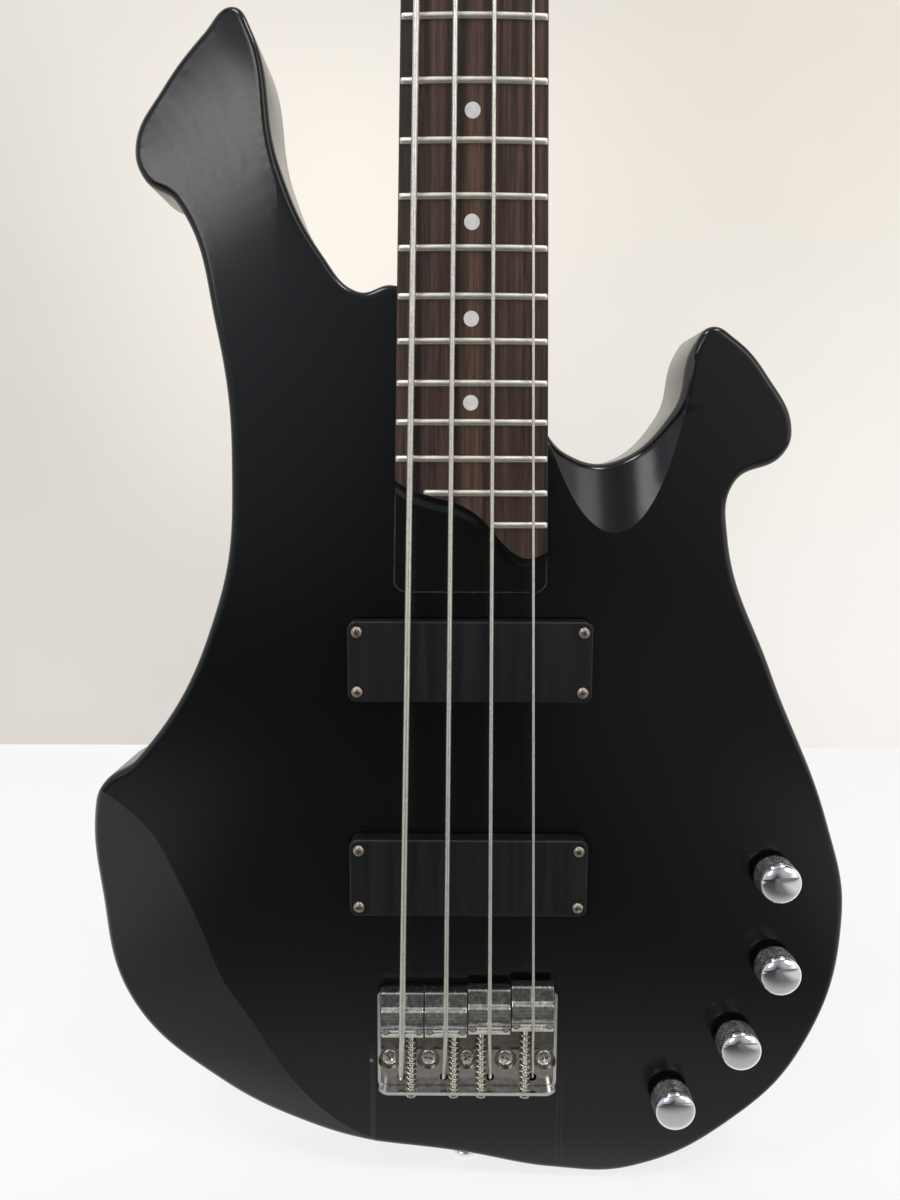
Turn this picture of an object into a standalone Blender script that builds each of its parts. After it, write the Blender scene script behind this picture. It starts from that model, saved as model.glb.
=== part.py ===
"""Electric bass guitar with four strings, a 34 inch scale and 24 frets.

Frame: +Z runs up the neck, the front faces -Y and +X is the treble side.
The origin is on the centre line, at the end of the tail strap button.
Pieces on the front are drawn in the face frame: x across, s along the neck
from the saddle line, h out from the body's front face, all in metres.
"""
import math

import bmesh
import bpy
from mathutils import Matrix, Vector

MM = 0.001

# Distances and angles under which points weld and faces count as flat
WELD = 0.0000001
FLAT = math.radians(0.1)

# Clearances, and how far a cutter runs past the face it opens
SEAT_GAP = 0.0003
RUNNING_GAP = 0.00025
CUT_PAST = 0.010

# Strings, from the bass side to the treble side
STRINGS = ("e", "a", "d", "g")
STRING_GAUGE = (0.00254, 0.00203, 0.00165, 0.00114)
BRIDGE_STRING_X = (-0.0283, -0.00945, 0.00945, 0.0283)
NUT_STRING_SPACING = 0.00975
SCALE_LENGTH = 0.8636

# Body
BODY_THICKNESS = 0.040
BODY_EDGE_RADIUS = 0.003
TAIL_DEPTH = 0.0709
RIGHT_EDGE = 0.1651
JACK_S = 0.0446

# Neck
NUT_WIDTH = 0.0412
LAST_FRET_WIDTH = 0.0626
HEEL_END = 0.1875
HEEL_TOP = 0.318
HEEL_DEPTH = 0.0197
HEEL_CORNER = 0.005
HEEL_PROUD = 0.0006
POCKET_END = 0.345
WOOD_TOP = 0.0025
STEP_BEHIND_BOARD = 0.0045
SHAFT_DEPTH_BODY = 0.0160
SHAFT_DEPTH_NUT = 0.0143
THROAT_DEPTH = 0.0158
# The heel turns into the shaft in three steps: past the heel's top, and the depth there
HEEL_FADE = (0.012, 0.028, 0.050)
HEEL_FADE_DEPTH = (0.0185, 0.0168)
SHAFT_NUT_FADE = (0.060, 0.012)

# Fingerboard and frets
BOARD_EDGE_TOP = 0.0075
BOARD_RADIUS = 0.305
FRET_COUNT = 24
FRET_WIDTH = 0.0027
FRET_HEIGHT = 0.0011
FRET_END_INSET = 0.0004
FRET_TANG = 0.0004
FRET_CROWN = 0.28
BOARD_UNCUT_END = 0.1955

# Nut
NUT_THICKNESS = 0.005
NUT_STRING_LIFT = 0.0005
NUT_OVER_SLOT = 0.0008
NUT_EDGE_INSET = 0.0002
NUT_EDGE_RADIUS = 0.0007

# Headstock
HEAD_TILT = math.radians(10)
HEAD_THICKNESS = 0.0145
HEAD_EDGE_RADIUS = 0.0022
HEAD_TOP_SINK = 0.0004

# Truss rod
ROD_WIDTH = 0.006
ROD_DEPTH = 0.009
ROD_START = 0.245
ROD_END_RADIUS = 0.0020
ROD_NUT_START = 0.0050
ROD_NUT_END = 0.0130
ROD_NUT_RADIUS = 0.0030
ROD_POCKET_WIDTH = 0.012
ROD_POCKET_START = 0.0018
ROD_POCKET_END = 0.034
ROD_POCKET_DEPTH = 0.0105
ROD_CHANNEL_PAST_NUT = 0.012
ROD_COVER_THICKNESS = 0.0016
ROD_COVER_EDGE = 0.0004
ROD_COVER_SCREW_T = 0.0372
ROD_COVER_SCREW_RADIUS = 0.0011
ROD_COVER_SCREW_HEAD = 0.0021
ROD_COVER_SCREW_RISE = 0.0028
ROD_COVER_SCREW_LENGTH = 0.008

# Tuners
POST_X = (-0.0225, -0.0195, 0.0195, 0.0225)
POST_T = (0.052, 0.112, 0.112, 0.052)
POST_RADIUS = 0.00475
POST_WAIST_RADIUS = 0.0041
POST_CAP_RADIUS = 0.0053
POST_HEIGHT = 0.0185
POST_WAIST_LOW = 0.0055
POST_WAIST_HIGH = 0.0155
POST_SINK = 0.006
POST_SLOT = 0.0026
POST_SLOT_DEPTH = 0.004
SLEEVE_RADIUS = 0.0064
SLEEVE_SINK = 0.002
COLLAR_RADIUS = 0.0085
COLLAR_TOP_RADIUS = 0.0068
COLLAR_HEIGHT = 0.0032
CASE_WIDTH = 0.023
CASE_LENGTH = 0.028
CASE_DEPTH = 0.0135
CASE_SHIFT = 0.004
CASE_EDGE_RADIUS = 0.0025
BOSS_RADIUS = 0.0040
BOSS_LENGTH = 0.0025
KEY_OFFSET = 0.0105
KEY_SHAFT_RADIUS = 0.0024
KEY_SINK = 0.008
KEY_EDGE_GAP = 0.0025
KEY_LENGTH = 0.0235
KEY_WIDTH = 0.0215
KEY_THICKNESS = 0.0046
KEY_EDGE_RADIUS = 0.0012
KEY_STEM_SINK = 0.0035
WIND_START = 0.0072
WIND_TURNS = 2
WIND_GAP = 0.00048
WIND_STEPS = 10

# Pickups
PICKUP_WIDTH = 0.1018
PICKUP_LENGTH = 0.0342
PICKUP_CORNER = 0.004
PICKUP_EDGE_RADIUS = 0.0009
PICKUP_TOP = 0.008
PICKUP_DEPTH = 0.024
PICKUP_HEEL_SPACE = 0.0112
BRIDGE_PICKUP_S = 0.0651
PICKUP_SCREW_X = 0.0468
PICKUP_SCREW_S = 0.0126
PICKUP_SCREW_RADIUS = 0.0013
PICKUP_SCREW_HEAD = 0.00245
PICKUP_SCREW_RISE = 0.0015
PICKUP_SCREW_TIP = 0.002
PICKUP_SCREW_LENGTH = 0.034
ROUT_GAP = 0.0006
ROUT_BELOW_PICKUP = 0.002

# Bridge
PLATE_HALF_WIDTH = 0.0395
PLATE_FRONT = 0.0130
PLATE_REAR = -0.0368
PLATE_BASE = 0.0025
PLATE_SIDE_WALL = 0.0013
PLATE_SIDE_TOP = 0.0065
PLATE_REAR_WALL = 0.0030
PLATE_REAR_TOP = 0.0095
PLATE_REAR_CORNER = 0.005
PLATE_REAR_STEP = 0.0012
PLATE_FRONT_CUT = (0.0025, 0.005)
PLATFORM_S = -0.0164
PLATFORM_RISE = 0.0010
PLATE_SCREW_SPACING = 0.01715
PLATE_SCREW_S = -0.0208
PLATE_SCREW_HEAD = 0.0037
PLATE_SCREW_RADIUS = 0.0019
PLATE_SCREW_LENGTH = 0.018
PLATE_SCREW_RISE = 0.0010
PLATE_SCREW_TIP = 0.003
SCALLOP_RADIUS = 0.0050
ANCHOR_S = -0.0294
ANCHOR_SPLAY = 0.0008
ANCHOR_RADIUS = 0.0019
BALL_RADIUS = 0.0029
BALL_LENGTH = 0.004
BALL_POCKET_RADIUS = 0.0040
BALL_POCKET_DEPTH = 0.0085

# Saddles
SADDLE_WIDTH = 0.0183
SADDLE_EDGE = 0.0003
SADDLE_GROOVE_SINK = 0.0003
SADDLE_RIDGE_S = (-0.0017, -0.0016, -0.0001, 0.0014)
SADDLE_RIDGE_TOP = 0.0122
SADDLE_LIFT = 0.0006
SADDLE_TRAVEL = 0.004
HEIGHT_SCREW_X = 0.0072
HEIGHT_SCREW_RADIUS = 0.0014
HEIGHT_SCREW_BACK = 0.0018
HEIGHT_SCREW_TOP = 0.0118
HEIGHT_SCREW_SOCKET = 0.0010
HEIGHT_SOCKET_RADIUS = 0.0006
INTONATION_X = (-0.0247, -0.0059, 0.0061, 0.0254)
INTONATION_H = 0.0067
INTONATION_RADIUS = 0.0014
INTONATION_HEAD = 0.0026
INTONATION_HEAD_LENGTH = 0.0022
INTONATION_REACH = 0.011
INTONATION_SLOT = 0.0008
SPRING_RADIUS = 0.0022
SPRING_WIRE = 0.0004
SPRING_CURLS = 7
SPRING_STEPS = 8

# Controls
KNOB_AT = ((0.1319, 0.0655), (0.1340, 0.0240), (0.1186, -0.0108), (0.0911, -0.0392))
KNOB_RADIUS = 0.0088
KNOB_SKIRT_RADIUS = 0.0091
KNOB_HEIGHT = 0.0155
KNOB_DOME_START = 0.0125
KNOB_SHAFT_RADIUS = 0.003
KNOB_SHAFT_SINK = 0.004
KNOB_LIFT = 0.0032
KNOB_RECESS = 0.0012
KNOB_RECESS_ROOM = 0.0006
KNOB_DOME_INSET = 0.985
POT_RADIUS = 0.0120
POT_CAN_DEPTH = 0.0095
POT_BUSH_RADIUS = 0.0046
POT_NUT_RADIUS = 0.0060
POT_NUT_HEIGHT = 0.0024
POT_CAN_EDGE = 0.001

# Control cavity and its contents
CAVITY_FRONT_WALL = 0.007
COVER_THICKNESS = 0.002
COVER_LEDGE = 0.0056
COVER_SCREW_OUT = 0.0030
COVER_SCREW_RADIUS = 0.0013
COVER_SCREW_HEAD = 0.0024
COVER_SCREW_LENGTH = 0.011
COVER_SCREW_RISE = 0.0007
BATTERY_SIZE = (0.0265, 0.0485, 0.0175)
BATTERY_AT = (0.0820, 0.0390)
BATTERY_EDGE_RADIUS = 0.0012
STUD_HEIGHT = 0.0022
BATTERY_STUDS = ((-0.0063, 0.0038), (0.0063, 0.0029))
BOARD_SIZE = (0.022, 0.042, 0.0040)
BOARD_AT = (0.0780, -0.0040)
BOARD_THICKNESS = 0.0016
# Each chip: place along the board, then its width and its length
BOARD_CHIPS = ((0.010, 0.0070, 0.0100), (-0.004, 0.0080, 0.0060), (-0.014, 0.0120, 0.0050))

# Output jack
JACK_RADIUS = 0.0063
JACK_FLANGE_RADIUS = 0.0100
JACK_FLANGE = 0.0022
JACK_FLANGE_EDGE = 0.0007
JACK_LENGTH = 0.027
JACK_BORE_RADIUS = 0.0033
JACK_BORE_DEPTH = 0.024
JACK_SPOT_DEPTH = 0.0012
JACK_HOLE_DEPTH = 0.030

# Strap buttons
BUTTON_HEIGHT = 0.0130
BUTTON_EDGE = 0.0012
BUTTON_RIM = 0.0030
BUTTON_WAIST = 0.0052
BUTTON_BASE_RADIUS = 0.0056
BUTTON_WAIST_RADIUS = 0.0044
BUTTON_RIM_RADIUS = 0.0078
BUTTON_SCREW_RADIUS = 0.0017
BUTTON_SCREW_LENGTH = 0.020
BUTTON_SCREW_TIP = 0.004
BUTTON_SPOT_DEPTH = 0.0014
HORN_BUTTON_AT = (-0.1010, 0.3840)

# Neck plate
NECK_PLATE_SIZE = (0.050, 0.058)
NECK_PLATE_S = 0.2235
NECK_PLATE_THICKNESS = 0.0020
NECK_PLATE_CORNER = 0.005
NECK_SCREW_X = 0.0190
NECK_SCREW_S = 0.0230
NECK_SCREW_RADIUS = 0.0021
NECK_SCREW_HEAD = 0.0042
NECK_SCREW_LENGTH = 0.034
NECK_SCREW_TIP = 0.004
NECK_SCREW_RISE = 0.0008
# How far the screws are fused into the plates they go through
SCREW_OVERLAP = 0.0002

# Worked out from the sizes above
HALF_BODY = BODY_THICKNESS / 2
SADDLE_Z = TAIL_DEPTH - BUTTON_SPOT_DEPTH + SEAT_GAP + BUTTON_HEIGHT
LAST_FRET_S = SCALE_LENGTH * 2 ** (-FRET_COUNT / 12)
NECK_FLARE = (LAST_FRET_WIDTH - NUT_WIDTH) / 2 / (SCALE_LENGTH - LAST_FRET_S)
POCKET_FLOOR = WOOD_TOP - HEEL_DEPTH - SEAT_GAP
NECK_PICKUP_S = HEEL_END - PICKUP_HEEL_SPACE - PICKUP_LENGTH / 2
PICKUP_S = {"neck": NECK_PICKUP_S, "bridge": BRIDGE_PICKUP_S}
HEAD_S = SCALE_LENGTH + NUT_THICKNESS
CAVITY_ROOF = -CAVITY_FRONT_WALL
KNOB_SHAFT_END = CAVITY_ROOF - KNOB_SHAFT_SINK

# Body outline, from the bass side of the neck round to the treble side (mm)
CUTAWAY_BASS = ((-32, 311.8), (-46, 309.2), (-60, 323))
HORN_BASS = ((-77, 358), (-86.5, 407), (-94.8, 417.3), (-107, 409), (-124, 387.6),
             (-134.2, 366), (-131, 352.3), (-119, 344))
WAIST_BASS = ((-104, 296), (-98.9, 240), (-106.5, 181), (-143, 114.5))
BOUT_BASS = ((-157.5, 104), (-164, 90), (-165.4, 48), (-155, -4), (-113.8, -41.5))
TAIL_BASS = ((-70, -59.6),)
TAIL_TREBLE = ((40, -78), (75, -77.6))
BOUT_TREBLE_LOW = ((120, -54), (151, -17.5))
BOUT_TREBLE_HIGH = ((156, 87), (128, 154))
WAIST_TREBLE = ((107.3, 211), (109.3, 233.6), (128, 244.2))
HORN_TREBLE = ((131.8, 254), (120.5, 277), (106.5, 291.7), (97, 296), (91, 290))
CUTAWAY_TREBLE = ((83, 262), (60, 242), (40, 245))
UNDER_NECK = ((28, 257), (-8, 300))

# Share by which a bevel's ruled surface runs on past its crease
BEVEL_OVERSHOOT = 0.15
# Forearm bevel: crease on the face, rim beyond the outline and drop at the rim (mm)
FOREARM = (((-162, 103), (-167, 101), 0.5), ((-150, 94.5), (-169, 89), 5.5),
           ((-137, 81), (-170, 70), 10), ((-127, 61), (-170, 47), 13),
           ((-116.8, 36.6), (-167, 20), 14.5), ((-108.5, 14), (-158, -9), 14.5),
           ((-96.5, -5), (-139, -31), 13), ((-84, -26), (-117, -47), 11),
           ((-70.7, -42.9), (-92, -60), 8), ((-56, -55.5), (-67, -67), 4),
           ((-42, -63), (-45, -70), 0.8))
# Bass horn bevel: crease, rim and drop at the rim (mm)
HORN_BEVEL = (((-76, 282), (-112, 278), 0.2), ((-76.2, 300), (-118, 300), 1.5),
              ((-76.6, 326), (-128, 330), 5.5), ((-78, 350), (-140, 358), 9.5),
              ((-80.8, 370), (-136, 385), 11), ((-82.4, 388), (-122, 408), 10.5),
              ((-85.5, 407), (-108, 422), 8), ((-87, 416), (-100, 426), 6))
# Treble cutaway scoop: a leaning cylinder cut into the face, turned a little toward the
# neck as it deepens (mm, degrees)
SCOOP_APEX = (60.2, 212.5)
SCOOP_RADIUS = 40
SCOOP_LEAN = 15
SCOOP_YAW = 2.5
SCOOP_REACH = (-0.13, 0.11)
# Belly cut: a large leaning cylinder that deepens from where it fades to the waist's
# edge (mm, degrees)
BELLY_FADE = (-34, 222)
BELLY_RADIUS = 230
BELLY_LEAN = 11
BELLY_REACH = (-0.05, 0.20)

# End of the fingerboard, an S drawn across the heel (mm)
BOARD_END = ((-31.5, 234), (-26, 230.7), (-16.1, 227.1), (-7.5, 225), (-0.6, 221.9),
             (5.6, 217), (13.1, 208.3), (18.2, 204), (23.2, 202.3), (31.5, 204.9))
# Neck sections: place along the neck, depth, and power from square (0) to round (1)
HEEL_POWER = 0.16
NECK_SHAFT = ((HEEL_TOP, HEEL_DEPTH, HEEL_POWER),
              (HEEL_TOP + HEEL_FADE[0], HEEL_FADE_DEPTH[0], 0.35),
              (HEEL_TOP + HEEL_FADE[1], HEEL_FADE_DEPTH[1], 0.7),
              (HEEL_TOP + HEEL_FADE[2], SHAFT_DEPTH_BODY, 0.88),
              (SCALE_LENGTH - SHAFT_NUT_FADE[0], SHAFT_DEPTH_NUT, 0.92),
              (SCALE_LENGTH - SHAFT_NUT_FADE[1], SHAFT_DEPTH_NUT, 0.88),
              (HEAD_S, THROAT_DEPTH, 0.8))
# Sections behind the nut, in the head frame: place, half width, depth and power
NECK_THROAT = ((0.010, 0.0226, 0.0155, 0.6), (0.022, 0.0275, 0.0143, 0.4),
               (0.032, 0.0330, 0.0141, 0.25))
# Side view of a saddle, along the string and down from its ridge (mm)
SADDLE_SIDE = ((15, 5.2), (13.2, 3.6), (9, 3), (7.6, 1.4), (1.2, 0.8), (0, 0),
               (-1.2, 0.3), (-3, 1.6), (-5.5, 2.8))
SADDLE_FRONT = SADDLE_SIDE[0][0] * MM
SADDLE_REAR = SADDLE_SIDE[-1][0] * MM
# Half of a tuner key's button, as shares of its half width and of its length
KEY_HALF = ((0.35, 0), (0.93, 0.33), (0.98, 0.66), (0.62, 0.92))
# Headstock, treble half, across and away from the nut (mm)
HEAD_HALF = ((20.7, 0.5), (24, 13), (34.5, 32), (38.3, 50), (36.2, 90),
             (32.5, 135), (26, 166))
HEAD_TIP = (0, 180.5)
# Control cavity in the back (mm)
CAVITY = ((64, -44), (63, 20), (68, 72), (110, 86), (146, 78), (151, 30),
          (130, -25), (90, -60))
# The cavity's points that have a cover screw beside them
COVER_SCREW_CORNERS = (0, 2, 4, 5, 7)
# Truss rod cover on the headstock, treble half (mm)
ROD_COVER_HALF = ((9.5, 2.5), (8, 16), (8.6, 30))
ROD_COVER_TIP = (0, 40)

# Colours, roughness and metallic value
FINISH = {
    "black_paint": ((0.012, 0.012, 0.013), 0.32, 0.0),
    "rosewood": ((0.055, 0.032, 0.022), 0.5, 0.0),
    "nut_black": ((0.02, 0.02, 0.02), 0.45, 0.0),
    "cover_plastic": ((0.015, 0.015, 0.016), 0.6, 0.0),
    "chrome": ((0.78, 0.78, 0.78), 0.12, 1.0),
    "steel": ((0.62, 0.61, 0.58), 0.28, 1.0),
    "string_steel": ((0.70, 0.67, 0.60), 0.3, 1.0),
    "circuit": ((0.02, 0.12, 0.05), 0.6, 0.0),
    "battery": ((0.05, 0.05, 0.06), 0.4, 0.0),
}


def clear_scene():
    for obj in list(bpy.data.objects):
        bpy.data.objects.remove(obj, do_unlink=True)


def new_collection(name):
    collection = bpy.data.collections.new(name)
    bpy.context.scene.collection.children.link(collection)
    return collection


def new_material(name, finish):
    colour, roughness, metallic = FINISH[finish]
    material = bpy.data.materials.new(name)
    material.use_nodes = True
    shader = material.node_tree.nodes["Principled BSDF"]
    shader.inputs["Base Color"].default_value = (*colour, 1)
    shader.inputs["Roughness"].default_value = roughness
    shader.inputs["Metallic"].default_value = metallic
    return material


def new_frame(name, location, turn, parent=None):
    empty = bpy.data.objects.new(name, None)
    empty.location = location
    empty.rotation_euler = turn
    empty.parent = parent
    PARTS.objects.link(empty)
    return empty


def add_mesh(name, mesh, parent, finish, at=(0, 0, 0), turn=(0, 0, 0)):
    """A named piece when it has a finish, otherwise a cutter or a helper."""
    obj = bpy.data.objects.new(name, mesh)
    obj.parent = parent
    obj.location = at
    obj.rotation_euler = turn
    if finish:
        mesh.materials.append(new_material(name, finish))
        PARTS.objects.link(obj)
    else:
        obj.hide_render = True
        obj.display_type = "WIRE"
        CUTTERS.objects.link(obj)
    return obj


def smooth(obj, angle=35):
    for face in obj.data.polygons:
        face.use_smooth = True
    obj.data.set_sharp_from_angle(angle=math.radians(angle))


def mesh_of_curve(curve):
    """The closed mesh of a curve: its caps welded, and flat ones made one face."""
    holder = bpy.data.objects.new("curve", curve)
    CUTTERS.objects.link(holder)
    graph = bpy.context.evaluated_depsgraph_get()
    mesh = bpy.data.meshes.new_from_object(holder.evaluated_get(graph))
    bpy.data.objects.remove(holder)
    work = bmesh.new()
    work.from_mesh(mesh)
    bmesh.ops.remove_doubles(work, verts=work.verts, dist=WELD)
    if curve.dimensions == "2D":
        bmesh.ops.dissolve_limit(work, angle_limit=FLAT, verts=[], edges=work.edges)
    bmesh.ops.recalc_face_normals(work, faces=work.faces)
    work.to_mesh(mesh)
    work.free()
    mesh.materials.clear()
    return mesh


def outline_mesh(name, points, low, high, rounded=True, sharp=(), resolution=3):
    """A flat outline filled from height low to height high."""
    curve = bpy.data.curves.new(name, "CURVE")
    curve.dimensions = "2D"
    curve.fill_mode = "BOTH"
    curve.extrude = (high - low) / 2
    curve.resolution_u = resolution
    if rounded:
        spline = curve.splines.new("BEZIER")
        spline.bezier_points.add(len(points) - 1)
        for index, (point, place) in enumerate(zip(spline.bezier_points, points)):
            point.co = (*place, 0)
            kind = "VECTOR" if index in sharp else "AUTO"
            point.handle_left_type = kind
            point.handle_right_type = kind
    else:
        spline = curve.splines.new("POLY")
        spline.points.add(len(points) - 1)
        for point, place in zip(spline.points, points):
            point.co = (*place, 0, 1)
    spline.use_cyclic_u = True
    mesh = mesh_of_curve(curve)
    mesh.name = name
    mesh.transform(Matrix.Translation((0, 0, (high + low) / 2)))
    return mesh


def in_metres(points):
    return [(x * MM, s * MM) for x, s in points]


def corner_arc(centre, radius, start, steps):
    """Points of a quarter circle that turns left from angle start."""
    points = []
    for step in range(steps + 1):
        angle = start + math.pi / 2 * step / steps
        points.append((centre[0] + radius * math.cos(angle),
                       centre[1] + radius * math.sin(angle)))
    return points


def rounded_rectangle(width, length, radius, at=(0, 0), steps=3):
    across = width / 2 - radius
    along = length / 2 - radius
    points = []
    for turn, (side, end) in enumerate(((1, 1), (-1, 1), (-1, -1), (1, -1))):
        centre = (at[0] + side * across, at[1] + end * along)
        points += corner_arc(centre, radius, math.pi / 2 * turn, steps)
    return points


def mirrored(half, tip):
    """A half outline, its tip on the centre line, and its mirror image."""
    treble = in_metres(half)
    bass = [(-x, s) for x, s in reversed(treble)]
    return treble + in_metres((tip,)) + bass


def box_mesh(name, low, high):
    work = bmesh.new()
    bmesh.ops.create_cube(work, size=1)
    size = Vector(high) - Vector(low)
    middle = (Vector(high) + Vector(low)) / 2
    bmesh.ops.scale(work, vec=size, verts=work.verts)
    bmesh.ops.translate(work, vec=middle, verts=work.verts)
    mesh = bpy.data.meshes.new(name)
    work.to_mesh(mesh)
    work.free()
    return mesh


def rod_mesh(name, radius, low, high, sides=16):
    """A cylinder along its own Z axis from low to high."""
    work = bmesh.new()
    bmesh.ops.create_cone(work, cap_ends=True, segments=sides, radius1=radius,
                          radius2=radius, depth=high - low)
    bmesh.ops.translate(work, vec=(0, 0, (high + low) / 2), verts=work.verts)
    mesh = bpy.data.meshes.new(name)
    work.to_mesh(mesh)
    work.free()
    return mesh


def turned(name, profile, parent, finish, at=(0, 0, 0), turn=(0, 0, 0), steps=20):
    """A lathe shape: the profile of (radius, height) runs from top to bottom."""
    mesh = bpy.data.meshes.new(name)
    edges = [(index, index + 1) for index in range(len(profile) - 1)]
    mesh.from_pydata([(radius, 0, height) for radius, height in profile], edges, [])
    obj = add_mesh(name, mesh, parent, finish, at, turn)
    screw = obj.modifiers.new("lathe", "SCREW")
    screw.axis = "Z"
    screw.steps = steps
    screw.render_steps = steps
    screw.use_merge_vertices = True
    screw.merge_threshold = 0.000001
    screw.use_smooth_shade = True
    return obj


def loft_mesh(name, rings):
    """Skin through rings with the same number of points, closed by two caps."""
    work = bmesh.new()
    rows = [[work.verts.new(point) for point in ring] for ring in rings]
    count = len(rings[0])
    for near, far in zip(rows, rows[1:]):
        for index in range(count):
            after = (index + 1) % count
            work.faces.new((near[index], near[after], far[after], far[index]))
    work.faces.new(list(reversed(rows[0])))
    work.faces.new(rows[-1])
    bmesh.ops.recalc_face_normals(work, faces=work.faces)
    mesh = bpy.data.meshes.new(name)
    work.to_mesh(mesh)
    work.free()
    return mesh


def wire_mesh(name, points, radius, swell=None):
    """An unbroken tube through the points; swell gives each point's radius factor."""
    curve = bpy.data.curves.new(name, "CURVE")
    curve.dimensions = "3D"
    curve.bevel_depth = radius
    curve.bevel_resolution = 1
    curve.use_fill_caps = True
    spline = curve.splines.new("POLY")
    spline.points.add(len(points) - 1)
    for index, (point, place) in enumerate(zip(spline.points, points)):
        point.co = (*place, 1)
        point.radius = swell[index] if swell else 1
    return mesh_of_curve(curve)


def boolean(obj, other, operation):
    modifier = obj.modifiers.new(other.name, "BOOLEAN")
    modifier.operation = operation
    modifier.solver = "EXACT"
    modifier.object = other


def cut(obj, *cutters):
    for cutter in cutters:
        boolean(obj, cutter, "DIFFERENCE")


def join(obj, *others):
    for other in others:
        boolean(obj, other, "UNION")


def round_edges(obj, width, segments=2, angle=40):
    bevel = obj.modifiers.new("round", "BEVEL")
    bevel.width = width
    bevel.segments = segments
    bevel.limit_method = "ANGLE"
    bevel.angle_limit = math.radians(angle)


def box_cutter(name, low, high, parent):
    return add_mesh(name, box_mesh(name, low, high), parent, None)


def rod_cutter(name, radius, low, high, parent, at, turn=(0, 0, 0), sides=16):
    """A rod whose flats, not its corners, lie at the radius."""
    corner = radius / math.cos(math.pi / sides)
    return add_mesh(name, rod_mesh(name, corner, low, high, sides), parent, None, at, turn)


def neck_half(s):
    """Half the neck's width at distance s from the saddle line."""
    return NUT_WIDTH / 2 + NECK_FLARE * (SCALE_LENGTH - s)


def board_height(x, s):
    """Height of the fingerboard's arched top."""
    edge = math.sqrt(BOARD_RADIUS ** 2 - neck_half(s) ** 2)
    return BOARD_EDGE_TOP + math.sqrt(BOARD_RADIUS ** 2 - x ** 2) - edge


def fret_s(number):
    return SCALE_LENGTH * 2 ** (-number / 12)


def nut_string_x(index):
    return NUT_STRING_SPACING * (index - (len(STRINGS) - 1) / 2)


def nut_string_h(index):
    x = nut_string_x(index)
    lift = FRET_HEIGHT + NUT_STRING_LIFT + STRING_GAUGE[index] / 2
    return board_height(x, SCALE_LENGTH) + lift


def body_outline():
    groups = (CUTAWAY_BASS, HORN_BASS, WAIST_BASS, BOUT_BASS, TAIL_BASS)
    points = [point for group in groups for point in in_metres(group)]
    points.append((0, -TAIL_DEPTH))
    points += in_metres(TAIL_TREBLE) + in_metres(BOUT_TREBLE_LOW)
    points.append((RIGHT_EDGE, JACK_S))
    for group in (BOUT_TREBLE_HIGH, WAIST_TREBLE, HORN_TREBLE, CUTAWAY_TREBLE, UNDER_NECK):
        points += in_metres(group)
    return points


def bevel_cutter(name, stations, parent):
    """A wedge over a ruled surface that falls from a crease to a lower rim."""
    rings = []
    for crease, rim, drop in stations:
        inner = Vector((crease[0] * MM, crease[1] * MM, 0))
        outer = Vector((rim[0] * MM, rim[1] * MM, -drop * MM))
        inner = inner + (inner - outer) * BEVEL_OVERSHOOT
        rings.append((inner, outer, (outer.x, outer.y, CUT_PAST), (inner.x, inner.y, CUT_PAST)))
    return add_mesh(name, loft_mesh(name, rings), parent, None)


def heel_outline(grow, top):
    """The heel's plan, widened by grow and running up the neck to top."""
    low = HEEL_END - grow
    radius = HEEL_CORNER + grow
    half = neck_half(HEEL_END) + grow
    points = [(neck_half(top) + grow, top), (-neck_half(top) - grow, top)]
    points += corner_arc((-half + radius, low + radius), radius, math.pi, 3)
    points += corner_arc((half - radius, low + radius), radius, math.pi * 1.5, 3)
    return points


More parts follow.
